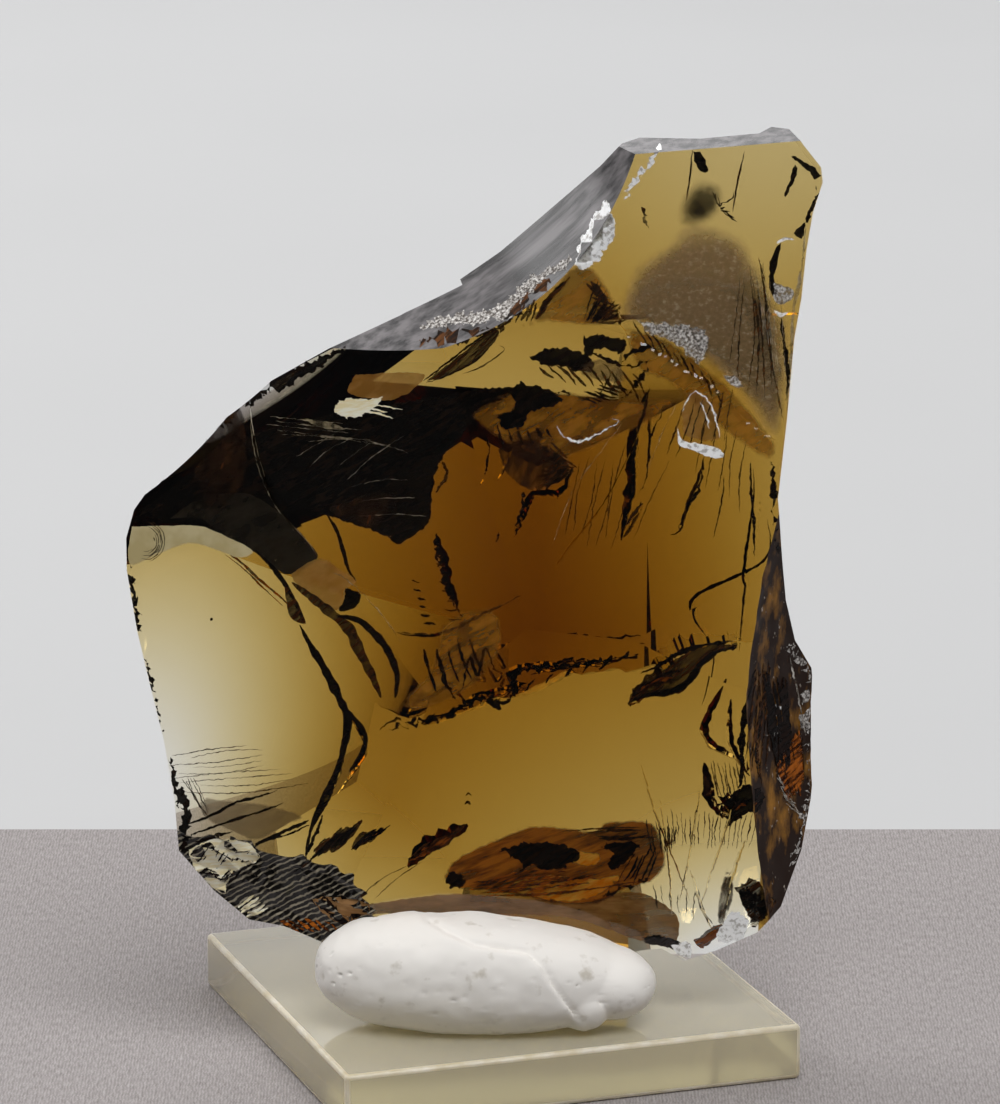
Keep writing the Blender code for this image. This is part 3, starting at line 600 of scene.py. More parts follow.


# marks in the glass: cracks, tinted films and crushed spots, and painted light: dark sheets of painted shade
# where the glass mirrors the dark, painted highlights and glints, and painted glow.
# Each: its kind, its width in mm (0 for a closed outline), its raggedness, then points (x, z)
marks = [
    # painted shade: the first two dark marks fill the dark zone at the upper left, where the glass mirrors
    # only dark
    ("dark", 1.6, 0.25, (-37.2, 62.6), (-30.4, 69.1), (-29.7, 69.9), (-29.1, 70.7), (-25.9, 73.4),
     (-20.6, 76.4), (-15.9, 79.1)),
    ("dark", 0, 0.1, (-38.9, 58.6), (-37.8, 60.3), (-34.5, 59.6), (-31.3, 59.6), (-29.2, 58.8),
     (-27.1, 57.9), (-22.2, 60.9), (-20.7, 61.9), (-17.8, 61.2), (-14.4, 60.1), (-12.3, 59.4), (-10.6, 58.9),
     (-9.4, 59.3), (-7.7, 60.2), (-6.9, 61.4), (-6.8, 63.7), (-6.4, 66.1), (-5.5, 68), (-3.9, 69.8),
     (-2.7, 71.4), (-0.6, 72.6), (2.3, 73.5), (0.7, 75.1), (-10.2, 73.4), (-27, 69.3), (-34.5, 64.5)),
    # painted glow: brighter amber bands below the shoulder, where light comes through
    ("bronze", 0, 0.1, (-3.3, 72.5), (-0.2, 74.1), (2.8, 74.9), (6.3, 74.6), (10.2, 74.1), (14.6, 73.4),
     (19, 73.8), (16.8, 71.4), (12.4, 69.5), (8.5, 67.8), (5, 67.2), (1.5, 68.6), (-1.5, 70.7)),
    ("bronze", 0, 0.1, (12.8, 81.5), (18.1, 79.7), (21.6, 77), (24.2, 74.8), (29.1, 69), (28.2, 66.9),
     (24.3, 69.5), (20.7, 72.2), (18.1, 74.9), (14.6, 76.7)),
    ("bronze", 0, 0.1, (5, 83.9), (6.3, 86.4), (8, 87.8), (9.8, 87.5), (11.5, 85.5), (12.8, 82.9),
     (13.3, 81.5), (9.4, 81.2), (5.4, 81.7), (2.4, 81.3)),
    ("slate", 0, 0.03, (-34.5, 60.1), (-31.3, 60.3), (-29.2, 58.8), (-27.1, 57.9), (-25.2, 56.7),
     (-23.5, 55.4), (-21.8, 54.7), (-18.9, 56.6), (-20.1, 58.7), (-22.2, 60.9), (-25.8, 63.2), (-29.2, 63),
     (-32.1, 62)),
    ("beige", 0, 0.04, (-21.7, 54.7), (-18.7, 56.6), (-16.5, 55.4), (-14.8, 54.3), (-16.1, 53.3),
     (-16.1, 52), (-17, 51.1), (-18.7, 51.8), (-21, 53.6)),
    ("umber", 0, 0.15, (-32, 67.3), (-29.8, 69.9), (-26.9, 72.7), (-26.1, 67.6), (-27, 63.6), (-30, 61.2),
     (-31.7, 64.7)),
    ("umber", 0, 0.1, (-18.6, 61.7), (-12.7, 64), (-10.2, 63.2), (-12.7, 60.2), (-16.1, 60.9)),
    ("beige", 0, 0.06, (-14.8, 76.3), (-7.7, 76.5), (-10.6, 73.8), (-14.4, 74), (-15.6, 74.6)),
    ("pale", 0, 0.03, (-20.2, 71.5), (-17.7, 71.2), (-16, 70.4), (-18.6, 70.6)),
    ("pale", 0.12, 0.03, (-25.9, 72.1), (-25.7, 69.3), (-25.1, 66.5), (-23.9, 63.3), (-22.4, 61),
     (-20.1, 58.7), (-18.8, 56.8)),
    ("pale", 0.1, 0.08, (-17.8, 55.4), (-16.1, 54.6), (-13.6, 52.4), (-11.1, 49.5), (-10.2, 47.9)),
    ("dark", 0.42, 0.03, (-18, 61.5), (-16.9, 59.7), (-16.2, 57.5), (-15.6, 55.4), (-14.8, 54.3)),
    ("dark", 0, 0.06, (-15.9, 53.6), (-14.4, 52.9), (-15, 51.5), (-16.6, 51), (-16, 52.4)),
    ("bronze", 0, 0.1, (-6, 49.8), (-2.9, 51.8), (0.1, 51.3), (0.5, 47.7), (-1.6, 44.3), (-5, 41.9),
     (-8.2, 40.8), (-10.1, 41.5), (-7.1, 45.3)),
    ("dark", 0.4, 0.1, (-6.5, 47.4), (-5.6, 44.3), (-4.4, 42.1)),
    ("dark", 0.3, 0.06, (-3.7, 43.2), (-2.9, 46.5), (-2.1, 44.8), (-1.2, 47.6), (-0.4, 45.4)),
    ("dark", 0.7, 0.35, (-10.8, 38.4), (-8.2, 39.7), (-5, 40.3), (-2.9, 42.1), (0.3, 41.6), (1.9, 43.1),
     (1.5, 44.7), (3.4, 45.4), (6.6, 45.7), (9.7, 46), (14.8, 46.8)),
    ("line", 0.25, 0.08, (-10.5, 49), (-7.1, 48.9), (-4.4, 49.6), (-0.8, 51.6), (2.4, 53.2)),
    ("rust", 0.3, 0.03, (-28.9, 57), (-27.1, 55.8), (-25, 53.9), (-22.9, 52.2), (-21.7, 51.1)),
    ("rust", 0.18, 0.03, (-28.7, 56.5), (-26.7, 55), (-24.6, 53), (-22.5, 51.1)),
    ("dark", 0.55, 0.03, (-25.5, 57.2), (-23.7, 55.4), (-22.4, 53.7), (-21.2, 51.6), (-20.3, 49.4)),
    ("brown", 0, 0.04, (-22.4, 53.8), (-21, 51.6), (-20.2, 49.4), (-21.7, 49.9), (-22.2, 51.6)),
    ("dark", 0.85, 0.03, (-20.8, 49.2), (-19.6, 46.9), (-18.2, 44.6), (-16.6, 41.4), (-15.6, 38.9),
     (-16.1, 35.8)),
    ("dark", 0.75, 0.03, (-16.6, 41.4), (-16, 39.1), (-16.2, 36.2), (-16.9, 33.6), (-18.2, 30.4),
     (-19.7, 27.1), (-20.4, 23.5)),
    ("brown", 1.25, 0.03, (-21.6, 53.8), (-19.5, 52.3), (-17.4, 50.7), (-15.5, 49), (-14.5, 46.8),
     (-13.2, 44.3), (-12.2, 41.8)),
    ("dark", 0.85, 0.03, (-17, 50.5), (-14.5, 50.1), (-12.8, 48.7), (-11.5, 47.1), (-10.5, 44.5),
     (-10.7, 41.9)),
    ("dark", 0.7, 0.03, (-16.3, 40.6), (-14.9, 39.2), (-13.9, 37.5), (-14.3, 35.5), (-15.6, 33.5)),
    ("dark", 0.5, 0.25, (-6.4, 59.1), (-6, 56.1), (-5.1, 53.8), (-3.9, 51)),
    ("dark", 0, 0.1, (-11.5, 59.1), (-10.2, 58.4), (-7.7, 60.2), (-9.4, 59.6)),
    ("dark", 0.75, 0.35, (-38.8, 57.2), (-39, 54.4), (-38.5, 51.1), (-38.1, 48.4), (-38.4, 49.2),
     (-38.1, 47.5)),
    ("dark", 0.45, 0.25, (-37.4, 44.7), (-36.7, 41.4), (-36.1, 38.8), (-35.5, 36.7)),
    ("dark", 0.45, 0.25, (-35.1, 33.2), (-34.8, 33.7), (-34.3, 30.5), (-34, 28.1)),
    ("dark", 1, 0.25, (-33.7, 30.5), (-33.2, 27.8), (-33.4, 24.9), (-33.8, 23.7)),
    ("smoke", 0, 0.05, (-31.9, 29.8), (-28.1, 29.5), (-25, 29.4), (-20.6, 28.4), (-22, 27.3), (-24, 26.1),
     (-25.7, 25.3), (-28.5, 26.2), (-31.2, 27.4)),
    ("dark", 0.33, 0.05, (-33.3, 26.5), (-30.5, 27.7), (-27.8, 29.3), (-25.7, 30), (-23.3, 30.9)),
    ("dark", 0.28, 0.05, (-33, 25.4), (-28.5, 27.2), (-25.4, 28.4), (-22.6, 29.6)),
    ("dark", 0.4, 0.08, (-32.3, 24.7), (-30.2, 25.5), (-28.1, 26.1)),
    ("dark", 0.36, 0.06, (-25.7, 24.9), (-22.6, 26.5), (-19.9, 27.9)),
    ("dark", 0.25, 0.06, (-28.1, 23.4), (-25, 25.2), (-22.3, 26.2), (-19.9, 27.4)),
    ("line", 0.15, 0.03, (-22, 21.8), (-17.9, 25.2), (-15.1, 27.1)),
    ("line", 0.12, 0.03, (-15.2, 19.4), (-12.4, 21.8), (-9.7, 23.2)),
    ("line", 0.1, 0.03, (-13.1, 19.6), (-10.4, 22.1), (-8, 23.7)),
    ("dark", 0.35, 0.08, (-18.4, 28.6), (-19.2, 26.5), (-20.3, 24)),
    ("mocha", 0, 0.05, (-19.8, 19), (-17.9, 19.5), (-15.2, 19.5), (-13.1, 19.1), (-9.7, 19.5), (-4.3, 19.9),
     (2.2, 19.2), (9, 19.1), (14.1, 19.8), (16.8, 19), (19.2, 16.8), (18.9, 13.9), (16.2, 13.9), (7.3, 17),
     (-2.9, 17.5), (-6.3, 17.5), (-13.1, 17.9), (-15.2, 17.1), (-16.6, 16.3), (-18.6, 17.5)),
    ("dark", 0, 0.1, (-20, 18.8), (-17.9, 19.5), (-15.2, 19.5), (-13.7, 18.7), (-14.9, 17.3), (-16.6, 16.3),
     (-17.9, 17.4)),
    ("brown", 0, 0.08, (13.7, 41.4), (14.8, 43.4), (16.9, 44), (18.1, 45.6), (19.9, 46.9), (23, 47.7),
     (25.2, 47.4), (23, 46.8), (21.5, 45.6), (20.6, 44), (19.4, 42.6), (17.5, 42.3), (15.4, 42)),
    ("dark", 0.75, 0.06, (13.6, 41.3), (15.7, 42.2), (18.1, 42.6), (20, 43.6), (21.3, 45.5), (23, 46.8),
     (25.2, 47.3)),
    ("dark", 0.5, 0.08, (15.1, 44.7), (16.9, 45.6), (18.7, 46.7), (21.2, 47.5), (24.8, 48)),
    ("dark", 0.35, 0.1, (14.2, 42), (15.7, 43.3), (17.5, 44.6), (19.5, 45)),
    ("rust", 0.5, 0.1, (14.8, 42.5), (16.6, 43.7), (18.4, 44.3)),
    ("dark", 0.7, 0.08, (27.1, 44.8), (26.7, 42.7), (26.1, 40), (25.8, 37), (25.9, 34), (25.6, 31.4)),
    ("umber", 0.4, 0.05, (28, 45.7), (27.7, 42.9), (27.3, 39.6), (26.8, 37.5)),
    ("dark", 0.35, 0.08, (28.4, 43.3), (28.1, 40.8), (27.7, 38.1), (27.3, 35.7), (27.7, 33)),
    ("umber", 0, 0.04, (21.8, 34.4), (22.4, 33.1), (23, 31.1), (22.7, 29.9), (21.9, 30.7), (21.7, 32.7)),
    ("dark", 0, 0.16, (24.4, 30.1), (25.3, 31.3), (26.3, 32), (27.4, 31.5), (28.3, 30.5), (27.7, 29),
     (26.4, 28.7), (25.4, 27.7), (24.5, 27.4), (24.6, 28.7)),
    ("rust", 0.35, 0.15, (25.4, 29.2), (26.4, 30.1), (27.5, 29.9)),
    ("umber", 0, 0.05, (24.3, 22.8), (25.2, 20.4), (24.9, 18.1), (24.1, 16), (23.4, 16.8), (23.7, 20.1)),
    ("brown", 0, 0.18, (25.3, 20.4), (27.3, 21.2), (28.6, 20), (29.7, 18.3), (28.8, 17.1), (27.4, 15.7),
     (26.4, 17.8)),
    ("dark", 0, 0.12, (15.6, 14.5), (17.1, 14.9), (19.1, 14.2), (19.8, 13.1), (17.8, 13.5), (15.9, 13.9)),
    ("rust", 0, 0.1, (21, 14.3), (23.3, 15.9), (24.1, 15.5), (21.9, 13.4)),
    ("umber", 0.3, 0.03, (19, 19.5), (19.4, 17.5), (20, 15.5), (20.3, 13.8)),
    ("line", 0.2, 0.03, (21.4, 20.1), (21.8, 17.8), (23, 16.1)),
    # painted glow: the orange patch low in the middle and its brighter core
    ("stain", 0, 0.08, (-5.8, 21.7), (-4.8, 23.7), (-1.5, 25.5), (1.2, 26.7), (3.4, 27.5), (6.5, 27.4),
     (10.1, 26.9), (11.9, 27.9), (16.2, 27.8), (17.5, 25.7), (17.9, 22.9), (16.4, 20.9), (13.4, 20),
     (10.6, 18.5), (6.5, 18.5), (2.1, 19.5), (-1.5, 20.2), (-4.2, 20.5)),
    ("amber", 0, 0.12, (0.3, 20.5), (3.4, 21.7), (6.6, 21.8), (10.9, 21.5), (13.9, 22.3), (15.4, 22.7),
     (12.2, 20.5), (9.8, 19.1), (6.6, 18.8), (3.5, 19.5)),
    ("amber", 0, 0.15, (7.9, 25), (9.8, 24.5), (11.7, 24.2), (10.9, 23.3), (11.5, 22.4), (9.6, 22.8),
     (7.9, 22.9)),
    ("dark", 0, 0.2, (0.3, 24.8), (3.4, 25.7), (6.5, 25.4), (7.9, 25), (8.8, 24), (7.3, 22.8), (5, 22.5),
     (3.4, 23), (1.9, 22), (2.5, 23.3)),
    ("dark", 0, 0.2, (10.9, 25.2), (13, 25.6), (14.9, 25.2), (14.5, 24.1), (13.7, 23.4), (12.7, 22.4),
     (11.5, 22.8), (12.2, 24.1)),
    ("dark", 0, 0.2, (-5.7, 21.6), (-4.8, 22.6), (-3.6, 21.7), (-3.8, 20.6), (-5.1, 20.8)),
    ("dark", 0.3, 0.3, (10.1, 18.9), (12.8, 20), (16.2, 21.3)),
    ("umber", 0, 0.3, (28.3, 20.1), (29.6, 18.3), (28.8, 17.1), (27.4, 15.7), (26.6, 16.6), (27.8, 18.1)),
    ("brown", 0.9, 0.35, (-8.1, 79.9), (-4.1, 80.5), (-0.2, 81.5), (1.8, 83.4), (3.8, 85), (5.4, 85.8)),
    ("grit", 1.1, 0.3, (-8.1, 81.1), (-5.7, 81.5), (-2.5, 82.1), (0.6, 83), (2.2, 84.4), (4.6, 86.4),
     (7.8, 88.5)),
    ("dark", 0.25, 0.05, (-7.7, 75.8), (-5.7, 77.4), (-3.7, 79), (-0.6, 81.1), (0.1, 80.5)),
    ("dark", 0.2, 0.05, (-7.4, 75.6), (-4.9, 76.6), (-2.1, 78.1), (0.1, 80.5)),
    ("brown", 0, 0.04, (-7.3, 75.9), (-4.1, 78.5), (-0.6, 81), (-0, 80.5), (-2.1, 78.2), (-5.7, 76.2)),
    ("line", 0.15, 0.03, (-3.7, 76.6), (-1.7, 77.3), (0.6, 78.9), (0.2, 79.5)),
    ("dark", 0, 0.16, (8.8, 80.1), (10.6, 80.4), (13.3, 79.7), (12.7, 78.4), (11, 79), (9.4, 78.1), (9, 79)),
    ("dark", 0, 0.14, (3.4, 78.2), (5.6, 79.1), (8.2, 78.8), (10, 77.5), (9.4, 76.5), (6.6, 77.1),
     (4.6, 77.5)),
    ("smoke", 0, 0.1, (7.8, 76.9), (9.4, 77.7), (11.8, 77.8), (13.5, 76.2), (13, 75.3), (10.2, 75.5)),
    ("dark", 0.45, 0.2, (12.9, 77.4), (14.1, 78.5), (15.7, 78.9), (17, 78.9)),
    ("dark", 0.3, 0.15, (9.4, 78.7), (12.1, 77.4), (14.1, 77), (15.4, 77.4)),
    ("dark", 0.35, 0.2, (15.8, 77.8), (15.3, 76.2), (14.1, 74.6), (13, 73.4)),
    ("dark", 0, 0.2, (2.4, 75.8), (3.8, 75.2), (5.6, 74.7), (7.8, 74.1), (5.8, 74.3), (7, 73.4), (5, 72.8),
     (3.4, 72.4), (2.6, 71.1), (0.6, 70.8), (0, 72.1), (1.8, 72.8), (1.4, 74.4), (2, 75.3)),
    ("dark", 0.5, 0.15, (-6.9, 67.2), (-5.7, 69.5), (-3.7, 72), (-1.5, 73.5), (1.4, 74.1)),
    ("dark", 0.4, 0.2, (2.8, 63.9), (2.3, 61.7), (1.8, 59.7)),
    ("dark", 0.5, 0.15, (5, 64.4), (6.8, 65.5), (7.9, 66.5)),
    ("dark", 0.45, 0.08, (15.8, 74.8), (15.3, 72.2), (14.6, 69.8), (14.2, 67), (14.2, 63.8), (13, 59.7)),
    ("dark", 0.2, 0.08, (14.8, 63.8), (15.5, 65), (15.8, 67), (16, 69.4), (17.4, 72.5)),
    ("brown", 0.4, 0.1, (13, 59.9), (14.2, 61.4), (15.1, 62.7)),
    ("dark", 0.3, 0.12, (21.6, 66.9), (21, 63.7), (19.8, 62.1), (19, 59.6)),
    ("pale", 0.08, 0.05, (13, 71), (10, 67.1), (7.8, 64), (6.3, 60), (5.6, 57.7)),
    ("line", 0.1, 0.05, (18, 67), (16, 63), (14.3, 59.1)),
    ("pale", 0.07, 0.05, (19.3, 74.1), (17.3, 70.1), (15.8, 66.2)),
    ("line", 0.2, 0.1, (11, 77.4), (11.8, 76.2), (10.6, 74.2)),
    ("dark", 0.2, 0.1, (-1.7, 70.6), (-0.9, 68.9), (-1.1, 67.4), (-1.4, 65.8)),
    ("brown", 0.3, 0.1, (-6.5, 64), (-5.3, 65.7), (-5.7, 67.3)),
    ("umber", 0, 0.15, (-0.2, 68.9), (3.8, 69.6), (7.4, 67.1), (7, 65.6), (3.8, 64.1), (1, 65.7)),
    ("dark", 0.15, 0.05, (23.8, 65.3), (23.4, 62.1), (22.6, 58.9)),
    ("beige", 0, 0.08, (19.3, 72.1), (20.5, 74.3), (22.1, 73.3), (23, 70.5), (22.9, 69.1), (19.7, 69.7)),
    ("dark", 0.3, 0.06, (26.5, 66.8), (26.6, 63.7), (26.9, 60.1), (27, 56.9)),
    ("umber", 0.3, 0.05, (27.9, 66.8), (27.6, 62.9), (27.2, 57.3)),
    ("dark", 0.7, 0.15, (28.7, 66.8), (29.2, 62), (29.7, 56.8)),
    ("haze", 0, 0.1, (14, 87.8), (17.7, 89.9), (23.1, 90.7), (26.8, 88.5), (29.2, 84.5), (31, 79.6),
     (30, 70.4), (28.4, 69.2), (24.4, 74.5), (21.7, 76.9), (18.6, 79.7), (14.4, 81.2), (12.2, 82.3)),
    ("haze", 0, 0.1, (17.4, 89.9), (19.5, 92.3), (22.8, 92), (26.2, 90.1), (26.9, 87), (28.2, 83.3),
     (29.6, 79.6), (30.2, 75.3), (30, 69.8), (28.7, 69.5), (26.9, 72.9), (24.4, 75.1), (21.7, 77.2),
     (18.6, 80), (14.7, 81.3), (12.8, 82), (13.1, 84.7), (15, 87.1)),
    ("haze", 0, 0.1, (14.1, 85.9), (20.7, 87.1), (25.6, 85.8), (28.1, 81.5), (29.9, 75.3), (29.7, 69.8),
     (26.9, 72.9), (21.7, 77.2), (14.7, 81)),
    # painted shade: a soft dark patch in the neck
    ("blob", 0, 0.08, (18.4, 92.9), (19.1, 95.1), (20.7, 96.8), (22.5, 96.7), (23.7, 95.6), (23.7, 93.8),
     (22.8, 92.3), (20.7, 91.4), (19, 91.4)),
    ("blob", 0, 0.08, (19, 93.2), (19.8, 95.1), (21.1, 96.1), (22.8, 95.5), (23.2, 93.8), (21.9, 92.6),
     (20.4, 92.1)),
    ("dark", 0.16, 0.08, (23.1, 94.1), (24.6, 94.7), (24.4, 95.3)),
    ("dark", 0, 0.05, (20.3, 99.6), (21.2, 99.4), (21.9, 97.5), (21, 97.6), (20.5, 98.5)),
    ("umber", 0.28, 0.03, (20, 99.7), (20.2, 96.6), (19.9, 94.1)),
    ("umber", 0.2, 0.03, (26.4, 99.6), (25.8, 97.5), (25.1, 94.7)),
    ("dark", 0.8, 0.12, (30.6, 99), (31.5, 98.4), (32.8, 97.4), (33.6, 95.7), (32.8, 93.7), (32.1, 92.1)),
    ("dark", 0.5, 0.08, (31, 98.2), (30.6, 96.5), (29.9, 94.7)),
    ("dark", 0.75, 0.06, (29.5, 89.9), (28.9, 88.2), (28.6, 86.1), (29, 84.2)),
    ("grit", 0, 0.06, (28.8, 85.8), (30.5, 85.2), (30.9, 84.5), (29.9, 83.5), (28.9, 83.9)),
    ("dark", 0, 0.05, (30.8, 90.9), (32, 92), (31.7, 90.3)),
    ("pale", 0.35, 0.05, (32.1, 92.2), (31.9, 89.1), (31.5, 85.7), (30.9, 82.7), (30.7, 78.4), (30.3, 72.3)),
    ("grit", 0, 0.2, (14.5, 81.9), (17.7, 81.6), (21.5, 80.9), (21.7, 78.5), (20.8, 77.5), (18.6, 79.6),
     (16.2, 80.5)),
    ("grit", 0, 0.15, (23.5, 76.3), (25, 75.7), (25.7, 74.8), (24.4, 75.1)),
    ("line", 0.25, 0.15, (15.1, 93.9), (15.3, 92.4), (15.8, 91.4)),
    ("dark", 0.4, 0.1, (29.6, 81.8), (30, 79), (30.4, 75.9), (30.2, 73.5)),
    ("grit", 0.5, 0.3, (28.6, 36.7), (29.8, 36.9), (30.7, 37.8)),
    ("grit", 0.7, 0.5, (33.4, 42.2), (33.3, 39.4), (33.4, 35.5), (33.6, 31.8)),
    ("grit", 0.8, 0.5, (33.7, 30.2), (33.3, 27.6), (32.8, 24.6), (31.7, 21.2)),
    ("umber", 0.6, 0.1, (30.6, 45.7), (31.6, 42.4), (32.3, 38.9), (32.7, 35.5)),
    ("pale", 0.18, 0.08, (31.1, 44.5), (31.7, 41.7), (32.4, 38.2), (33, 35.1)),
    ("grit", 0.9, 0.5, (30.6, 46), (32.6, 44), (33.5, 42.1)),
    ("dark", 0.3, 0.02, (-30.3, 49.4), (-30.1, 49.2)),
    ("line", 0.2, 0.02, (-3.4, 31.1), (-3.1, 31.4), (-2.8, 31.1)),
    ("line", 0.25, 0.02, (-3.5, 30.1), (-3.2, 30.4), (-2.9, 30.1)),
    ("straw", 0, 0.03, (-38.6, 59.2), (-34.5, 59.5), (-31.3, 59.6), (-28.7, 58.7), (-25.8, 57.2),
     (-27.1, 56.4), (-29, 56.9), (-32.2, 57.7), (-35.1, 56.7), (-38.8, 55.1)),
    ("ring", 0.13, 0.03, (-37, 58.3), (-36.6, 58), (-36.6, 57.5), (-36.9, 57.1), (-37.3, 57.1)),
    ("ring", 0.1, 0.03, (-36.8, 58.5), (-36.4, 58), (-36.5, 57.3), (-37, 56.8)),
    ("ring", 0.13, 0.03, (-36.9, 58.8), (-36.3, 58.3), (-36.2, 57.3), (-36.8, 56.6), (-37.4, 56.6)),
    ("ring", 0.1, 0.03, (-36.7, 59), (-36, 58.2), (-36.1, 57), (-36.9, 56.3)),
    ("ring", 0.13, 0.03, (-36.8, 59.3), (-35.9, 58.5), (-35.8, 57.2), (-36.6, 56.2), (-37.6, 56.1)),
    ("ring", 0.1, 0.03, (-36.5, 59.5), (-35.6, 58.4), (-35.8, 56.8), (-36.9, 55.9)),
    ("ring", 0.13, 0.03, (-36.8, 59.8), (-35.6, 58.8), (-35.5, 57), (-36.5, 55.8), (-37.7, 55.7)),
    ("ring", 0.1, 0.03, (-36.4, 59.9), (-35.2, 58.6), (-35.4, 56.6), (-36.8, 55.4)),
    # painted highlights: cream patches where a lamp glints off the faces
    ("cream", 0, 0.15, (-16.9, 73.2), (-15.9, 73.9), (-14.1, 73.8), (-12.2, 74), (-13, 72.9), (-14.2, 72.1),
     (-15.8, 71.9), (-16.7, 72.4)),
    ("cream", 0, 0.08, (-33, 23.8), (-30.2, 25.3), (-26.8, 25.2), (-25.4, 23.9), (-25.8, 23), (-27.9, 21.8),
     (-29, 19.9), (-29.2, 18.8), (-30.6, 19.6), (-32.4, 21.7)),
    # crushed glass and painted glints: white on crushed ridges, and white spots where small chips catch the
    # light
    ("white", 0, 0.15, (25, 17.8), (26.6, 16.8), (26.2, 14.8), (24.1, 14.1), (23.4, 15.2)),
    ("white", 0, 0.12, (18.6, 13.8), (20.3, 14.2), (20.6, 12.6), (19.4, 12.8)),
    ("white", 0.16, 0.12, (6.2, 71.1), (7, 69.9), (8.6, 69.4), (10.6, 70.2), (12.6, 71.3), (11.9, 71.8)),
    ("white", 0, 0.06, (18.9, 70.6), (19.4, 69.3), (21.4, 68.9), (23.3, 68.3), (23.6, 67.5), (22.1, 67.5),
     (20.5, 68.3), (19, 68.8)),
    ("white", 0.16, 0.1, (19.3, 72.3), (19.7, 73.3), (20.6, 74.4), (21.8, 73.6), (22.6, 72.3), (23, 70.7),
     (23.3, 69.6)),
    ("white", 0.14, 0.08, (21.3, 73.3), (21.9, 71.7), (22.1, 70.5)),
    ("white", 0.3, 0.05, (29.1, 90), (29.9, 90.4), (30.9, 90.3)),
    ("white", 0.35, 0.06, (28.9, 82.8), (29.6, 82.4), (30.3, 82.6)),
    ("white", 0, 0.2, (8, 87.9), (8.9, 90.6), (10.7, 93.9), (11.4, 94.3), (12.3, 91.8), (11.4, 90),
     (10.5, 88.4), (9.2, 87.4)),
    ("white", 0.4, 0.3, (16.6, 99.8), (15.8, 98.5), (14.7, 97.3), (13.1, 94.9)),
    ("white", 0.25, 0.2, (28.5, 39), (28.9, 39.7), (29.8, 39.6), (30.6, 38.7), (30.7, 37.7)),
    ("white", 0.2, 0.15, (29, 38.3), (29.4, 38.6), (30, 38.4), (30.1, 37.6), (29.6, 37.4)),
]
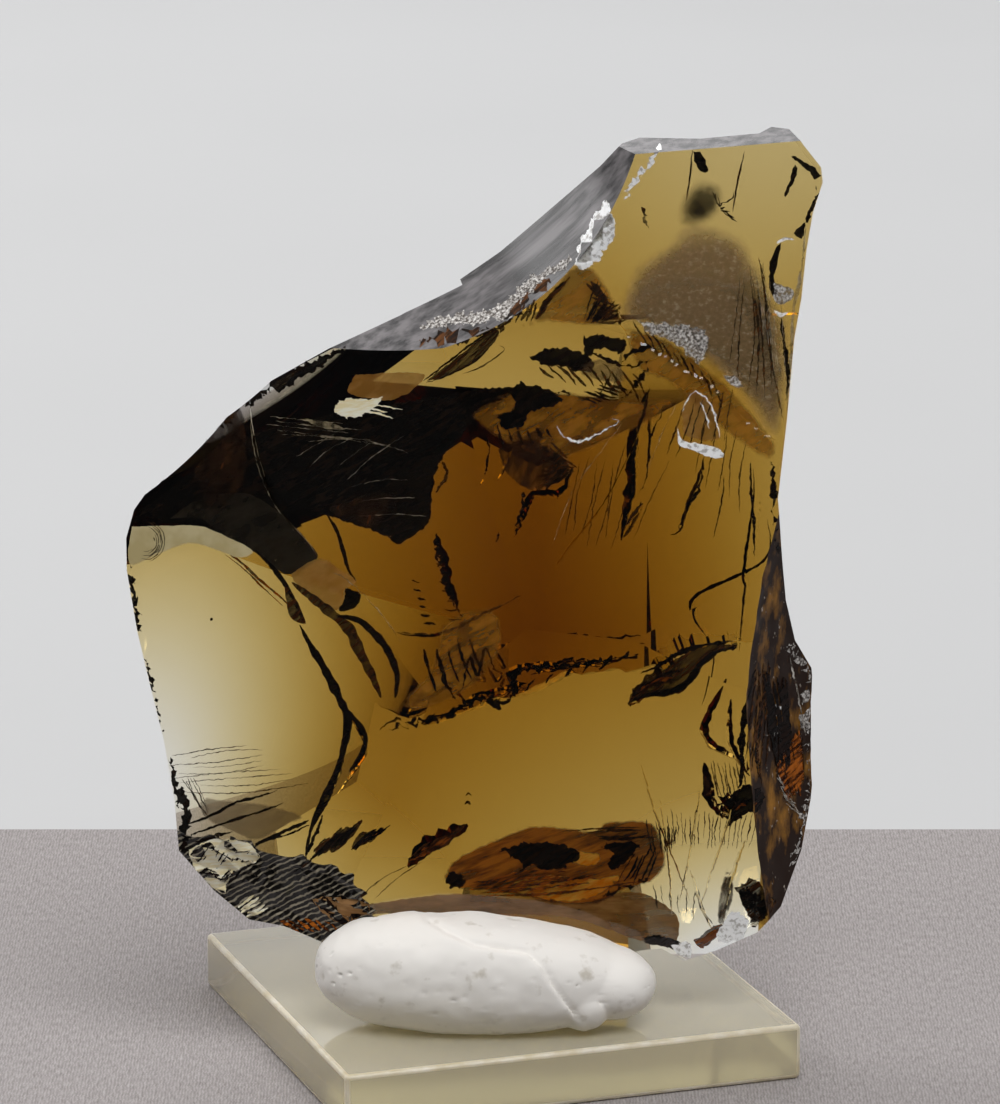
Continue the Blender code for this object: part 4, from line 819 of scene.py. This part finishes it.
# each: kind, count and width of its strokes, then the two ends of the first stroke and of the last
combs = [
    # painted highlights: light streaks along the ripples beside the cream highlight
    ("pale", 6, 0.07, (-24.2, 71.8), (-16, 71.1), (-22.8, 69.4), (-9.4, 68.1)),
    ("pale", 3, 0.06, (-16.1, 64.3), (-8.5, 65.4), (-14.4, 61.2), (-7.3, 61.4)),
    ("pale", 4, 0.06, (-21.5, 67.2), (-16, 70.7), (-16.1, 64.8), (-10.2, 69.6)),
    ("cream", 3, 0.16, (-14.2, 73.3), (-9.8, 72.8), (-15.4, 72.6), (-11, 71.9)),
    ("dark", 5, 0.28, (-7.6, 46.9), (-6.5, 43.3), (-2.9, 48.6), (-1.6, 45.2)),
    ("dark", 12, 0.3, (-9.2, 39), (-8.4, 40.3), (12.9, 46.1), (14.1, 47.5)),
    ("dark", 6, 0.22, (-9, 54.6), (-8.3, 54.3), (-7.8, 50.1), (-6.5, 50)),
    ("brown", 8, 0.16, (-6.7, 57.4), (-5.5, 57), (-5.2, 50.6), (-3.5, 50.7)),
    ("line", 9, 0.09, (-34.5, 34.1), (-25.7, 35.8), (-33.2, 30.3), (-20.9, 31.9)),
    ("line", 5, 0.12, (-33.7, 31.8), (-30.9, 27.4), (-32.5, 32.2), (-30.5, 27.8)),
    ("dark", 9, 0.14, (-32.4, 21.7), (-30.7, 24.6), (-29.3, 19.2), (-25.7, 24.4)),
    ("dark", 5, 0.12, (-32.7, 22.4), (-29.3, 21.4), (-31.1, 20.1), (-28.6, 20.3)),
    ("cream", 5, 0.28, (-27.9, 17.1), (-25.9, 19), (-26.9, 16.2), (-24.2, 17.6)),
    ("rust", 6, 0.3, (-23.5, 16.2), (-21.1, 14.8), (-18.6, 16.7), (-17, 15.2)),
    ("brown", 7, 0.62, (-19.8, 24.1), (-17.9, 26.6), (-17, 25.1), (-14.4, 28.3)),
    ("dark", 5, 0.25, (-19.7, 23.9), (-16.5, 27), (-16.8, 25.1), (-14.8, 27.8)),
    ("brown", 6, 0.5, (-15.8, 24.8), (-13.8, 27.2), (-14.3, 25.8), (-11, 28.2)),
    ("dark", 5, 0.2, (-15.6, 25), (-13.4, 27.4), (-14.3, 26), (-11.4, 28)),
    ("brown", 8, 0.5, (-9.7, 23.5), (-7.7, 25.7), (-7, 24.9), (-3.4, 27.8)),
    ("rust", 5, 0.25, (-9.4, 23.7), (-7, 26), (-7.7, 24.4), (-4.3, 27)),
    ("brown", 7, 0.2, (27.4, 45), (26.2, 34.7), (28.7, 45.5), (28.5, 32.3)),
    ("line", 9, 0.15, (22.5, 34.7), (23.5, 30.1), (25.6, 34.7), (26.3, 31.1)),
    ("line", 20, 0.1, (17.9, 29.1), (18.3, 24.8), (27.5, 28.9), (26.7, 24.8)),
    ("brown", 8, 0.2, (15.8, 27.9), (16.6, 23.5), (19, 27.4), (18.8, 24.8)),
    ("line", 6, 0.14, (16.5, 20.8), (17.1, 17.8), (21.1, 20.1), (20.9, 16.8)),
    ("dark", 6, 0.22, (12.6, 20.7), (14.7, 24.5), (15.8, 21.1), (17.3, 25)),
    ("rust", 7, 0.3, (-3.4, 21.2), (4.5, 22.4), (-1.9, 19.8), (15.2, 21.1)),
    ("brown", 5, 0.25, (6.6, 26.9), (15.1, 27.3), (10.9, 25.7), (16.7, 26.1)),
    ("dark", 8, 0.4, (25.8, 20.4), (26.4, 17.8), (28.8, 19.3), (28.3, 16.8)),
    ("brown", 8, 0.35, (7.6, 86.7), (5.9, 84.8), (5, 84.4), (3.8, 81.8)),
    ("dark", 10, 0.22, (9, 81.9), (10.5, 86.3), (10.5, 81.6), (13.3, 83)),
    ("brown", 6, 0.3, (0.8, 82.2), (2.3, 84.1), (3.4, 81.6), (4.2, 84.4)),
    ("dark", 7, 0.25, (8.6, 73.9), (10.6, 73.1), (11, 75.4), (14.1, 74.4)),
    ("brown", 10, 0.28, (3.8, 77.6), (6.2, 75.7), (14.1, 76.6), (15.7, 73.4)),
    ("dark", 6, 0.3, (0, 71.1), (0.6, 68.9), (5, 70.8), (5.8, 69.6)),
    ("brown", 11, 0.26, (5.2, 69.6), (7.8, 67.1), (3.8, 64.1), (7.8, 65.9)),
    ("brown", 9, 0.22, (14.1, 81.8), (15.7, 79.4), (22.1, 76.1), (23.3, 73.3)),
    ("umber", 7, 0.3, (9, 72.3), (11.8, 70.6), (14.1, 73.4), (15.7, 71.8)),
    ("umber", 6, 0.5, (1, 68.1), (6.6, 67.2), (2.2, 64.9), (7, 65.2)),
    ("line", 7, 0.12, (8.6, 67.1), (7, 59.2), (14.2, 68.6), (11.8, 57.5)),
    ("line", 5, 0.12, (22.1, 72.5), (20.6, 65.3), (26.1, 70), (25.4, 61.3)),
    ("line", 6, 0.14, (19.7, 73.3), (17.4, 67), (24.5, 74), (23.7, 69.3)),
    ("brown", 7, 0.16, (25.4, 86.9), (24.1, 76), (27.8, 86.8), (30.1, 70.1)),
    ("dark", 8, 0.14, (23.1, 93.8), (22.2, 95.8), (23.1, 93.5), (24.9, 92.2)),
    ("umber", 6, 0.16, (21.5, 99.1), (22.8, 96.1), (25, 98.7), (24.3, 95.6)),
    ("brown", 8, 0.4, (9.5, 86.3), (11, 84.8), (9.8, 82), (13.3, 82)),
    ("umber", 10, 0.18, (25.6, 88.6), (26.8, 79.6), (29.2, 85.8), (30.2, 71.8)),
    ("pale", 6, 0.08, (26.8, 87.6), (28.1, 78.4), (29.5, 84.5), (30.3, 72.2)),
    ("umber", 9, 0.5, (29.4, 34.8), (30.8, 28.5), (32.4, 38.2), (33.4, 30.2)),
    ("rust", 8, 0.45, (29.8, 33.4), (31.2, 28.4), (32.1, 36.4), (32.8, 29.7)),
    ("amber", 5, 0.35, (30.8, 33.6), (31.8, 29.4), (32.4, 35), (32.8, 32.3)),
    ("dark", 8, 0.5, (28, 44.4), (29.5, 33.5), (30.7, 42.7), (31.1, 30.9)),
    ("pale", 7, 0.12, (29.5, 32.5), (31.1, 29.7), (30.8, 28.5), (32.5, 26.6)),
]


# what each kind of mark is: the cells of its streaks in mm and their turn, its colours where the noise is low
# and high, its opacity there, in mm how softly its margin fades, and whether it is a bruise on the surface
markFinishes = dict(
    # partly painted shade, dark sheets where the glass mirrors only dark, and partly the dark lines of cracks
    dark=dict(cell=(2.5, 2.5, 0.6), turn=-30, colours=("070302", "22120a"), edges=(0.45, 0.7),
              alpha=(0.88, 1)),
    brown=dict(cell=(3, 3, 0.4), turn=-40, colours=("180b03", "5e3715"), edges=(0.42, 0.66), alpha=(0.6, 1)),
    # painted glow: brighter amber where light comes through the glass
    bronze=dict(cell=(4, 4, 1.5), turn=-30, colours=("b47c22", "e2a23c"), edges=(0.4, 0.62),
                alpha=(0.45, 0.65), soft=0.6),
    umber=dict(cell=(3, 3, 0.9), turn=-70, colours=("2a170c", "5a3a22"), edges=(0.4, 0.66),
               alpha=(0.4, 0.85), soft=0.25),
    rust=dict(cell=(2.5, 2.5, 0.4), turn=-30, colours=("3c1604", "b0601a"), edges=(0.4, 0.62),
              alpha=(0.6, 1)),
    line=dict(cell=(1.5, 1.5, 1.5), colours=("2a170a", "4a2c14"), alpha=(0.4, 0.9)),
    ring=dict(cell=(1.5, 1.5, 1.5), colours=("1e120a", "4a3420"), alpha=(0.6, 0.95), bruise=True),
    # painted highlights: thin light lines along ridges and ripples
    pale=dict(cell=(1.5, 1.5, 1.5), colours=("9a9184", "e8e2d8"), alpha=(0.2, 0.7)),
    straw=dict(cell=(4, 4, 4), colours=("cdbb88", "d9ca9c"), alpha=(0.95, 1), bruise=True),
    slate=dict(cell=(4, 4, 2), turn=-30, colours=("2f2a26", "3e3833"), alpha=(0.9, 0.97)),
    # painted light: lit facets beside the highlights
    beige=dict(cell=(5, 5, 2.5), turn=-30, colours=("e0ac62", "f2c680"), alpha=(0.5, 0.65)),
    mocha=dict(cell=(5, 5, 1.5), colours=("93683c", "b88c5c"), alpha=(0.65, 0.85)),
    # painted glow: bright orange where light shines through the glass
    amber=dict(cell=(3, 3, 0.7), turn=-25, colours=("ff9a18", "ffc858"), alpha=(0.9, 1), soft=0.2),
    smoke=dict(cell=(3, 3, 0.7), turn=-25, colours=("8a745c", "a8917a"), edges=(0.4, 0.7), alpha=(0.35, 0.5),
               soft=0.3),
    # painted shade: a soft dark patch in the neck, where the glass bends the view onto something dark
    blob=dict(cell=(2.5, 2.5, 2.5), colours=("26231d", "36322a"), edges=(0.4, 0.7), alpha=(0.5, 0.8),
              soft=1.8),
    haze=dict(cell=(0.6, 0.6, 0.45), colours=("cdb497", "fff6e8"), edges=(0.57, 0.7), alpha=(0.42, 0.62),
              soft=2),
    # crushed glass and painted glints: white on crushed ridges, and white spots where small chips catch the
    # light
    white=dict(cell=(0.5, 0.5, 0.5), colours=("c4c0bc", "ffffff"), edges=(0.38, 0.5), alpha=(0.9, 1),
               bruise=True),
    # painted highlights: cream patches and streaks where a lamp glints off the faces
    cream=dict(cell=(2, 2, 0.4), turn=-10, colours=("fff0c0", "fffae4"), alpha=(0.9, 1), bruise=True),
    grit=dict(cell=(0.3, 0.3, 0.3), colours=("6a625b", "dedad6"), edges=(0.4, 0.66), alpha=(0.5, 1),
              bruise=True),
    # painted glow: the orange patch low in the middle, lit by light coming through the glass
    stain=dict(cell=(5, 5, 0.8), turn=-20, colours=("84491a", "d08028"), edges=(0.42, 0.62),
               alpha=(0.75, 0.9), soft=0.4),
)


def markMaterial(finish, look):
    # air, tint or powdered glass in a crack, and for some kinds painted light (shade, highlight, glow):
    # streaked along the way it ran, and too dull to glint
    material, tree, shader, coords = newMaterial(finish + " mark film")
    streaks = streakNoise(tree, coords, look["cell"], look.get("turn", 0))
    low, high = look.get("edges", (0.4, 0.6))
    tree.links.new(blend(tree, streaks, low, high, look["colours"]), shader.inputs["Base Color"])
    thin, dense = look["alpha"]
    alpha = addNode(tree, "ShaderNodeMapRange", {"From Min": 0.4, "From Max": 0.6, "To Min": thin,
                                                 "To Max": dense}, {"Value": streaks})
    inside = addNode(tree, "ShaderNodeAttribute", {"attribute_name": "inside"}).outputs["Fac"]
    fade = addNode(tree, "ShaderNodeMapRange", {"interpolation_type": "SMOOTHSTEP",
                                                "From Max": look.get("soft", 0.01)}, {"Value": inside})
    both = addNode(tree, "ShaderNodeMath", {"operation": "MULTIPLY"},
                   {0: alpha.outputs[0], 1: fade.outputs[0]})
    tree.links.new(both.outputs[0], shader.inputs["Alpha"])
    shader.inputs["Roughness"].default_value = 0.6
    shader.inputs["Specular IOR Level"].default_value = 0.1
    return material


# in mm: the step along an outline, the finer and the coarser cells inside it, the depths of the first mark
# and of the last, how thick a film is, and how proud one stands that lies on the surface
markValues = dict(step=0.15, softCell=0.8, cell=1.2, deepest=0.95, shallowest=0.15, film=0.02, proud=0.14)


def strokeOutline(points, width, number):
    # a stroke that swells and tapers along its line
    line = [Vector(point) for point in smoothLine(points, markValues["step"])]
    left, right = [], []
    for i, point in enumerate(line):
        ahead = line[min(i + 1, len(line) - 1)] - line[max(i - 1, 0)]
        aside = Vector((-ahead.y, ahead.x)).normalized()
        swell = math.sin(math.pi * (i + 0.3) / (len(line) - 0.4)) ** 0.6
        swell *= 1 + 0.6 * noise.noise(Vector((i * 0.11, number * 1.7, 0)))
        left.append(point + aside * width / 2 * swell)
        right.append(point - aside * width / 2 * swell)
    return left + right[::-1]


def roughened(outline, raggedness, number):
    # pushed about by coarse noise and by fine noise
    points = []
    for point in outline:
        here = Vector((point[0], point[1], number * 3.7))
        shift = Vector((noise.noise(here / 0.5), noise.noise(here / 0.5 + Vector((0, 0, 1.9)))))
        shift += 0.6 * Vector((noise.noise(here / 0.16), noise.noise(here / 0.16 + Vector((0, 0, 2.3)))))
        points.append(Vector(point[:2]) + raggedness * 2 * shift)
    return points


def combStrokes(comb, number):
    # strokes laid side by side from the first line to the last, each set off a little
    finish, count, width, *ends = comb
    a, b, c, d = (Vector(end) for end in ends)
    strokes = []
    for i in range(count):
        t = i / (count - 1)
        shake = [noise.noise(Vector((i * 2.3, number * 1.1, k * 5.1))) for k in range(4)]
        start, end = a.lerp(c, t), b.lerp(d, t)
        along = end - start
        start += along * (0.05 + 0.35 * shake[0])
        end -= along * (0.05 + 0.35 * shake[1])
        middle = (start + end) / 2 + Vector((-along.y, along.x)) * 0.12 * shake[2]
        strokes.append((finish, width * (1 + 0.6 * shake[3]), 0.05, start, middle, end))
    return strokes


def filledOutline(rim, cell):
    # the outline's flat faces, with points inside as well, so that a broad film follows the curved surface
    lowX, highX = min(p.x for p in rim), max(p.x for p in rim)
    lowZ, highZ = min(p.y for p in rim), max(p.y for p in rim)
    corners = rim + [Vector((lowX + cell * (i + 0.5), lowZ + cell * (j + 0.5)))
                     for i in range(int((highX - lowX) / cell)) for j in range(int((highZ - lowZ) / cell))]
    filled = delaunay_2d_cdt(corners, [], [list(range(len(rim)))], 1, 1e-4)
    return filled[0], filled[2]


def addFilm(bm, tree, clear, rim, look, depth):
    # a thin closed shell behind the glass's face, or on it
    v = markValues
    inside = bm.verts.layers.float["inside"]
    soft = "soft" in look
    flat, faces = filledOutline(rim, v["softCell"] if soft else v["cell"])
    front, rear = {}, {}
    for k in sorted({k for face in faces for k in face}):
        place, _, index, _ = tree.ray_cast(Vector((flat[k].x, -60, flat[k].y)), Vector((0, 1, 0)))
        if place is None:
            continue
        y = place.y + (depth if clear[index] and "bruise" not in look else depth / 8 - v["proud"])
        for layer, gap in ((front, 0.0), (rear, v["film"])):
            layer[k] = bm.verts.new((flat[k].x, y + gap, flat[k].y))
            layer[k][inside] = min((flat[k] - p).length for p in rim) if soft else 1.0
    sides = set()
    for face in faces:
        if all(k in front for k in face):
            bm.faces.new([front[k] for k in face])
            bm.faces.new([rear[k] for k in reversed(face)])
            sides ^= {tuple(sorted(pair)) for pair in zip(face, face[1:] + face[:1])}
    for a, b in sorted(sides):
        bm.faces.new((front[a], front[b], rear[b], rear[a]))


def makeMarks(v):
    source = bmesh.new()
    source.from_mesh(glass.data)
    source.transform(Matrix.Scale(1 / mm, 4))
    tree = BVHTree.FromBMesh(source)
    clear = [face.material_index == 0 for face in source.faces]
    source.free()
    everyMark = marks + [stroke for number, comb in enumerate(combs) for stroke in combStrokes(comb, number)]
    finishes = {}
    for number, (finish, width, raggedness, *points) in enumerate(everyMark):
        if finish not in finishes:
            finishes[finish] = bmesh.new()
            finishes[finish].verts.layers.float.new("inside")
        if width:
            outline = strokeOutline(points, width, number)
        else:
            outline = smoothLine(points + points[:1], v["step"])[:-1]
        # later marks lie nearer the surface
        depth = v["deepest"] - (v["deepest"] - v["shallowest"]) * number / len(everyMark)
        rim = roughened(outline, raggedness, number)
        addFilm(finishes[finish], tree, clear, rim, markFinishes[finish], depth)
    for finish, bm in finishes.items():
        bmesh.ops.delete(bm, geom=[vert for vert in bm.verts if not vert.link_faces], context="VERTS")
        bm.transform(Matrix.Scale(mm, 4))
        piece = meshObject(finish + "Marks", bm, markMaterial(finish, markFinishes[finish]))
        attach(piece, "root")
        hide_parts("andara_glass")
    print("flaws laid in,", len(everyMark))


makeMarks(markValues)


# the putty: a hand-rolled lump pressed round the foot of the glass (millimetres)

puttyValues = dict(
    centre=(-2.0, -15.4, 11.7), radii=(17.4, 7.4, 6.3), fullness=2.25, lean=0.045, floor=6.3,
    # the folded tip and the end of the roll: middle and radii
    lobes=(((9.3, -18.2, 9.6), (2.9, 3.2, 3.3)), ((12.0, -15.6, 11.3), (4.9, 5.2, 4.3))),
    # the edge of the last turn, as seen from the front
    crease=((-7.5, 15.9), (-5.2, 14.5), (-2.4, 13.2), (0.5, 12.8), (3.2, 12.4), (4.6, 11.0), (5.7, 9.3),
            (7.0, 7.4), (8.9, 4.7)),
    creaseDepth=0.35, creaseWidth=0.35, turnStep=0.3,
    # finger dents and small pits: how deep, how far apart
    dents=(0.30, 4.5), shallowDents=(0.08, 1.3), pits=(0.9, 0.5),
    colours=("cfc8bc", "f6f2ec"), dustSize=2.38 * mm,
)


def roundedReach(away, radii, power):
    # how far the surface is along the unit vector away, from the middle of the lump
    return sum(abs(a / r) ** power for a, r in zip(away, radii)) ** (-1 / power)


def lobeReach(away, offset, radii):
    # the far crossing of a lobe, or nothing
    a = sum((d / r) ** 2 for d, r in zip(away, radii))
    b = sum(d * o / r ** 2 for d, o, r in zip(away, offset, radii))
    c = sum((o / r) ** 2 for o, r in zip(offset, radii)) - 1
    root = b * b - a * c
    return (b + math.sqrt(root)) / a if root > 0 else 0.0


def nearestOnLine(line, point):
    # distance to the line, signed by side
    best, side = 1e9, 1
    for (ax, ay), (bx, by) in zip(line, line[1:]):
        dx, dy = bx - ax, by - ay
        px, py = point[0] - ax, point[1] - ay
        along = max(0.0, min(1.0, (px * dx + py * dy) / (dx * dx + dy * dy)))
        distance = math.hypot(px - along * dx, py - along * dy)
        if distance < best:
            best, side = distance, 1 if dx * py - dy * px > 0 else -1
    return best * side


def puttyPoint(v, direction):
    away = Vector([d * r for d, r in zip(direction, v["radii"])]).normalized()
    reach = roundedReach(away, v["radii"], v["fullness"])
    for place, radii in v["lobes"]:
        offset = Vector(place) - Vector(v["centre"])
        other = lobeReach(away, offset, radii)
        # joined with a soft valley
        valley = max(0.0, 1 - abs(reach - other) / 1.2)
        reach = max(reach, other) + (0.12 * valley * valley if other > 0 else 0)
    point = Vector(v["centre"]) + away * reach
    point.z = v["floor"] + (point.z - v["floor"]) * (1 - v["lean"] * (point.x - v["centre"][0]) / 6)
    if away.y < 0.35:
        across = nearestOnLine(v["crease"], (point.x, point.z + 0.2625 * (point.y + 8)))
        point -= away * v["creaseDepth"] * math.exp(-(across / v["creaseWidth"]) ** 2)
        if across < 0:
            point += away * v["turnStep"] * math.exp(across / 1.6) * min(1, -across / 0.3)
    point.z = max(point.z, v["floor"])
    return point


def glassSwollen():
    # the glass pushed out a hair all round, to cut its bed
    bm = bmesh.new()
    bm.from_mesh(glass.data)
    bmesh.ops.scale(bm, vec=(1.002, 1.01, 1.002), space=Matrix.Translation((0, 8 * mm, -10 * mm)),
                    verts=bm.verts[:])
    return meshObject("bed", bm)


def makePutty(v):
    material, tree, shader, coords = newMaterial("white mineral putty")
    # filled with chalk, rolled by hand: dull and dense, with a little dust in the lows
    lows = addNode(tree, "ShaderNodeTexNoise", {"Scale": 1 / v["dustSize"], "Detail": 4.0},
                   {"Vector": coords})
    tree.links.new(blend(tree, lows.outputs["Fac"], 0.24, 0.38, v["colours"]), shader.inputs["Base Color"])
    shader.inputs["Roughness"].default_value = 0.75
    bm = bmesh.new()
    bmesh.ops.create_uvsphere(bm, u_segments=180, v_segments=180, radius=1)
    bm.transform(Matrix.Rotation(math.radians(90), 4, "Y"))
    for vert in bm.verts:
        point = puttyPoint(v, vert.co)
        if point.z > v["floor"]:
            dent = sum(depth * noise.noise(point / size) for depth, size in (v["dents"], v["shallowDents"]))
            depth, size = v["pits"]
            pit = max(0.0, noise.noise(point / size + Vector((3, 9, 1))) - 0.52) * depth
            point += (point - Vector(v["centre"])).normalized() * (dent - pit)
            point.z = max(point.z, v["floor"])
        vert.co = point * mm
    putty = meshObject("puttyRoll", bm, material)
    cutAway(putty, glassSwollen())
    shadeSmooth(putty, 50)
    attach(putty, "root")
    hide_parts("mounting_putty")
    print("putty pressed round the foot")


makePutty(puttyValues)


# the base: a square of aged clear acrylic

baseValues = dict(
    side=51.0, thickness=6.0, turn=19.0, rounding=0.5,
    ior=1.49, colour="f8f1dc", absorbed=(0.93, 0.87, 0.50), density=26.0,
    wornColours=("ddcfae", "f4ecda"), scuffSize=3.0,
)


def makeBase(v):
    # cast acrylic sheet, yellowed with age, its top dulled by fine scratches: clear but a little milky
    material, tree, shader, _ = newMaterial("aged clear acrylic")
    shader.inputs["Base Color"].default_value = linearColour(v["colour"])
    shader.inputs["Roughness"].default_value = 0.12
    shader.inputs["Transmission Weight"].default_value = 0.7
    shader.inputs["IOR"].default_value = v["ior"]
    addAbsorption(tree, v["absorbed"], v["density"])
    bm = bmesh.new()
    bmesh.ops.create_cube(bm, size=1.0)
    bmesh.ops.scale(bm, vec=Vector((v["side"], v["side"], v["thickness"])) * mm, verts=bm.verts[:])
    bmesh.ops.bevel(bm, geom=bm.edges[:], offset=v["rounding"] * mm, offset_type="OFFSET",
                    segments=4, profile=0.5, affect="EDGES", material=-1)
    # its edges are worn white with handling
    worn, tree, shader, coords = newMaterial("worn acrylic edge")
    scuffs = streakNoise(tree, coords, (v["scuffSize"],) * 3, 0)
    tree.links.new(blend(tree, scuffs, 0.35, 0.65, v["wornColours"]), shader.inputs["Base Color"])
    shader.inputs["Roughness"].default_value = 0.35
    shader.inputs["Transmission Weight"].default_value = 0.3
    for face in bm.faces:
        if max(abs(side) for side in face.normal) < 0.99:
            face.material_index = 1
    turn = Matrix.Rotation(math.radians(v["turn"]), 4, "Z")
    bm.transform(Matrix.Translation((0, 0, v["thickness"] / 2 * mm)) @ turn)
    base = meshObject("acrylicPlate", bm, material)
    base.data.materials.append(worn)
    shadeSmooth(base, 50)
    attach(base, "root")
    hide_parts("acrylic_base")
    print("base cut")


makeBase(baseValues)
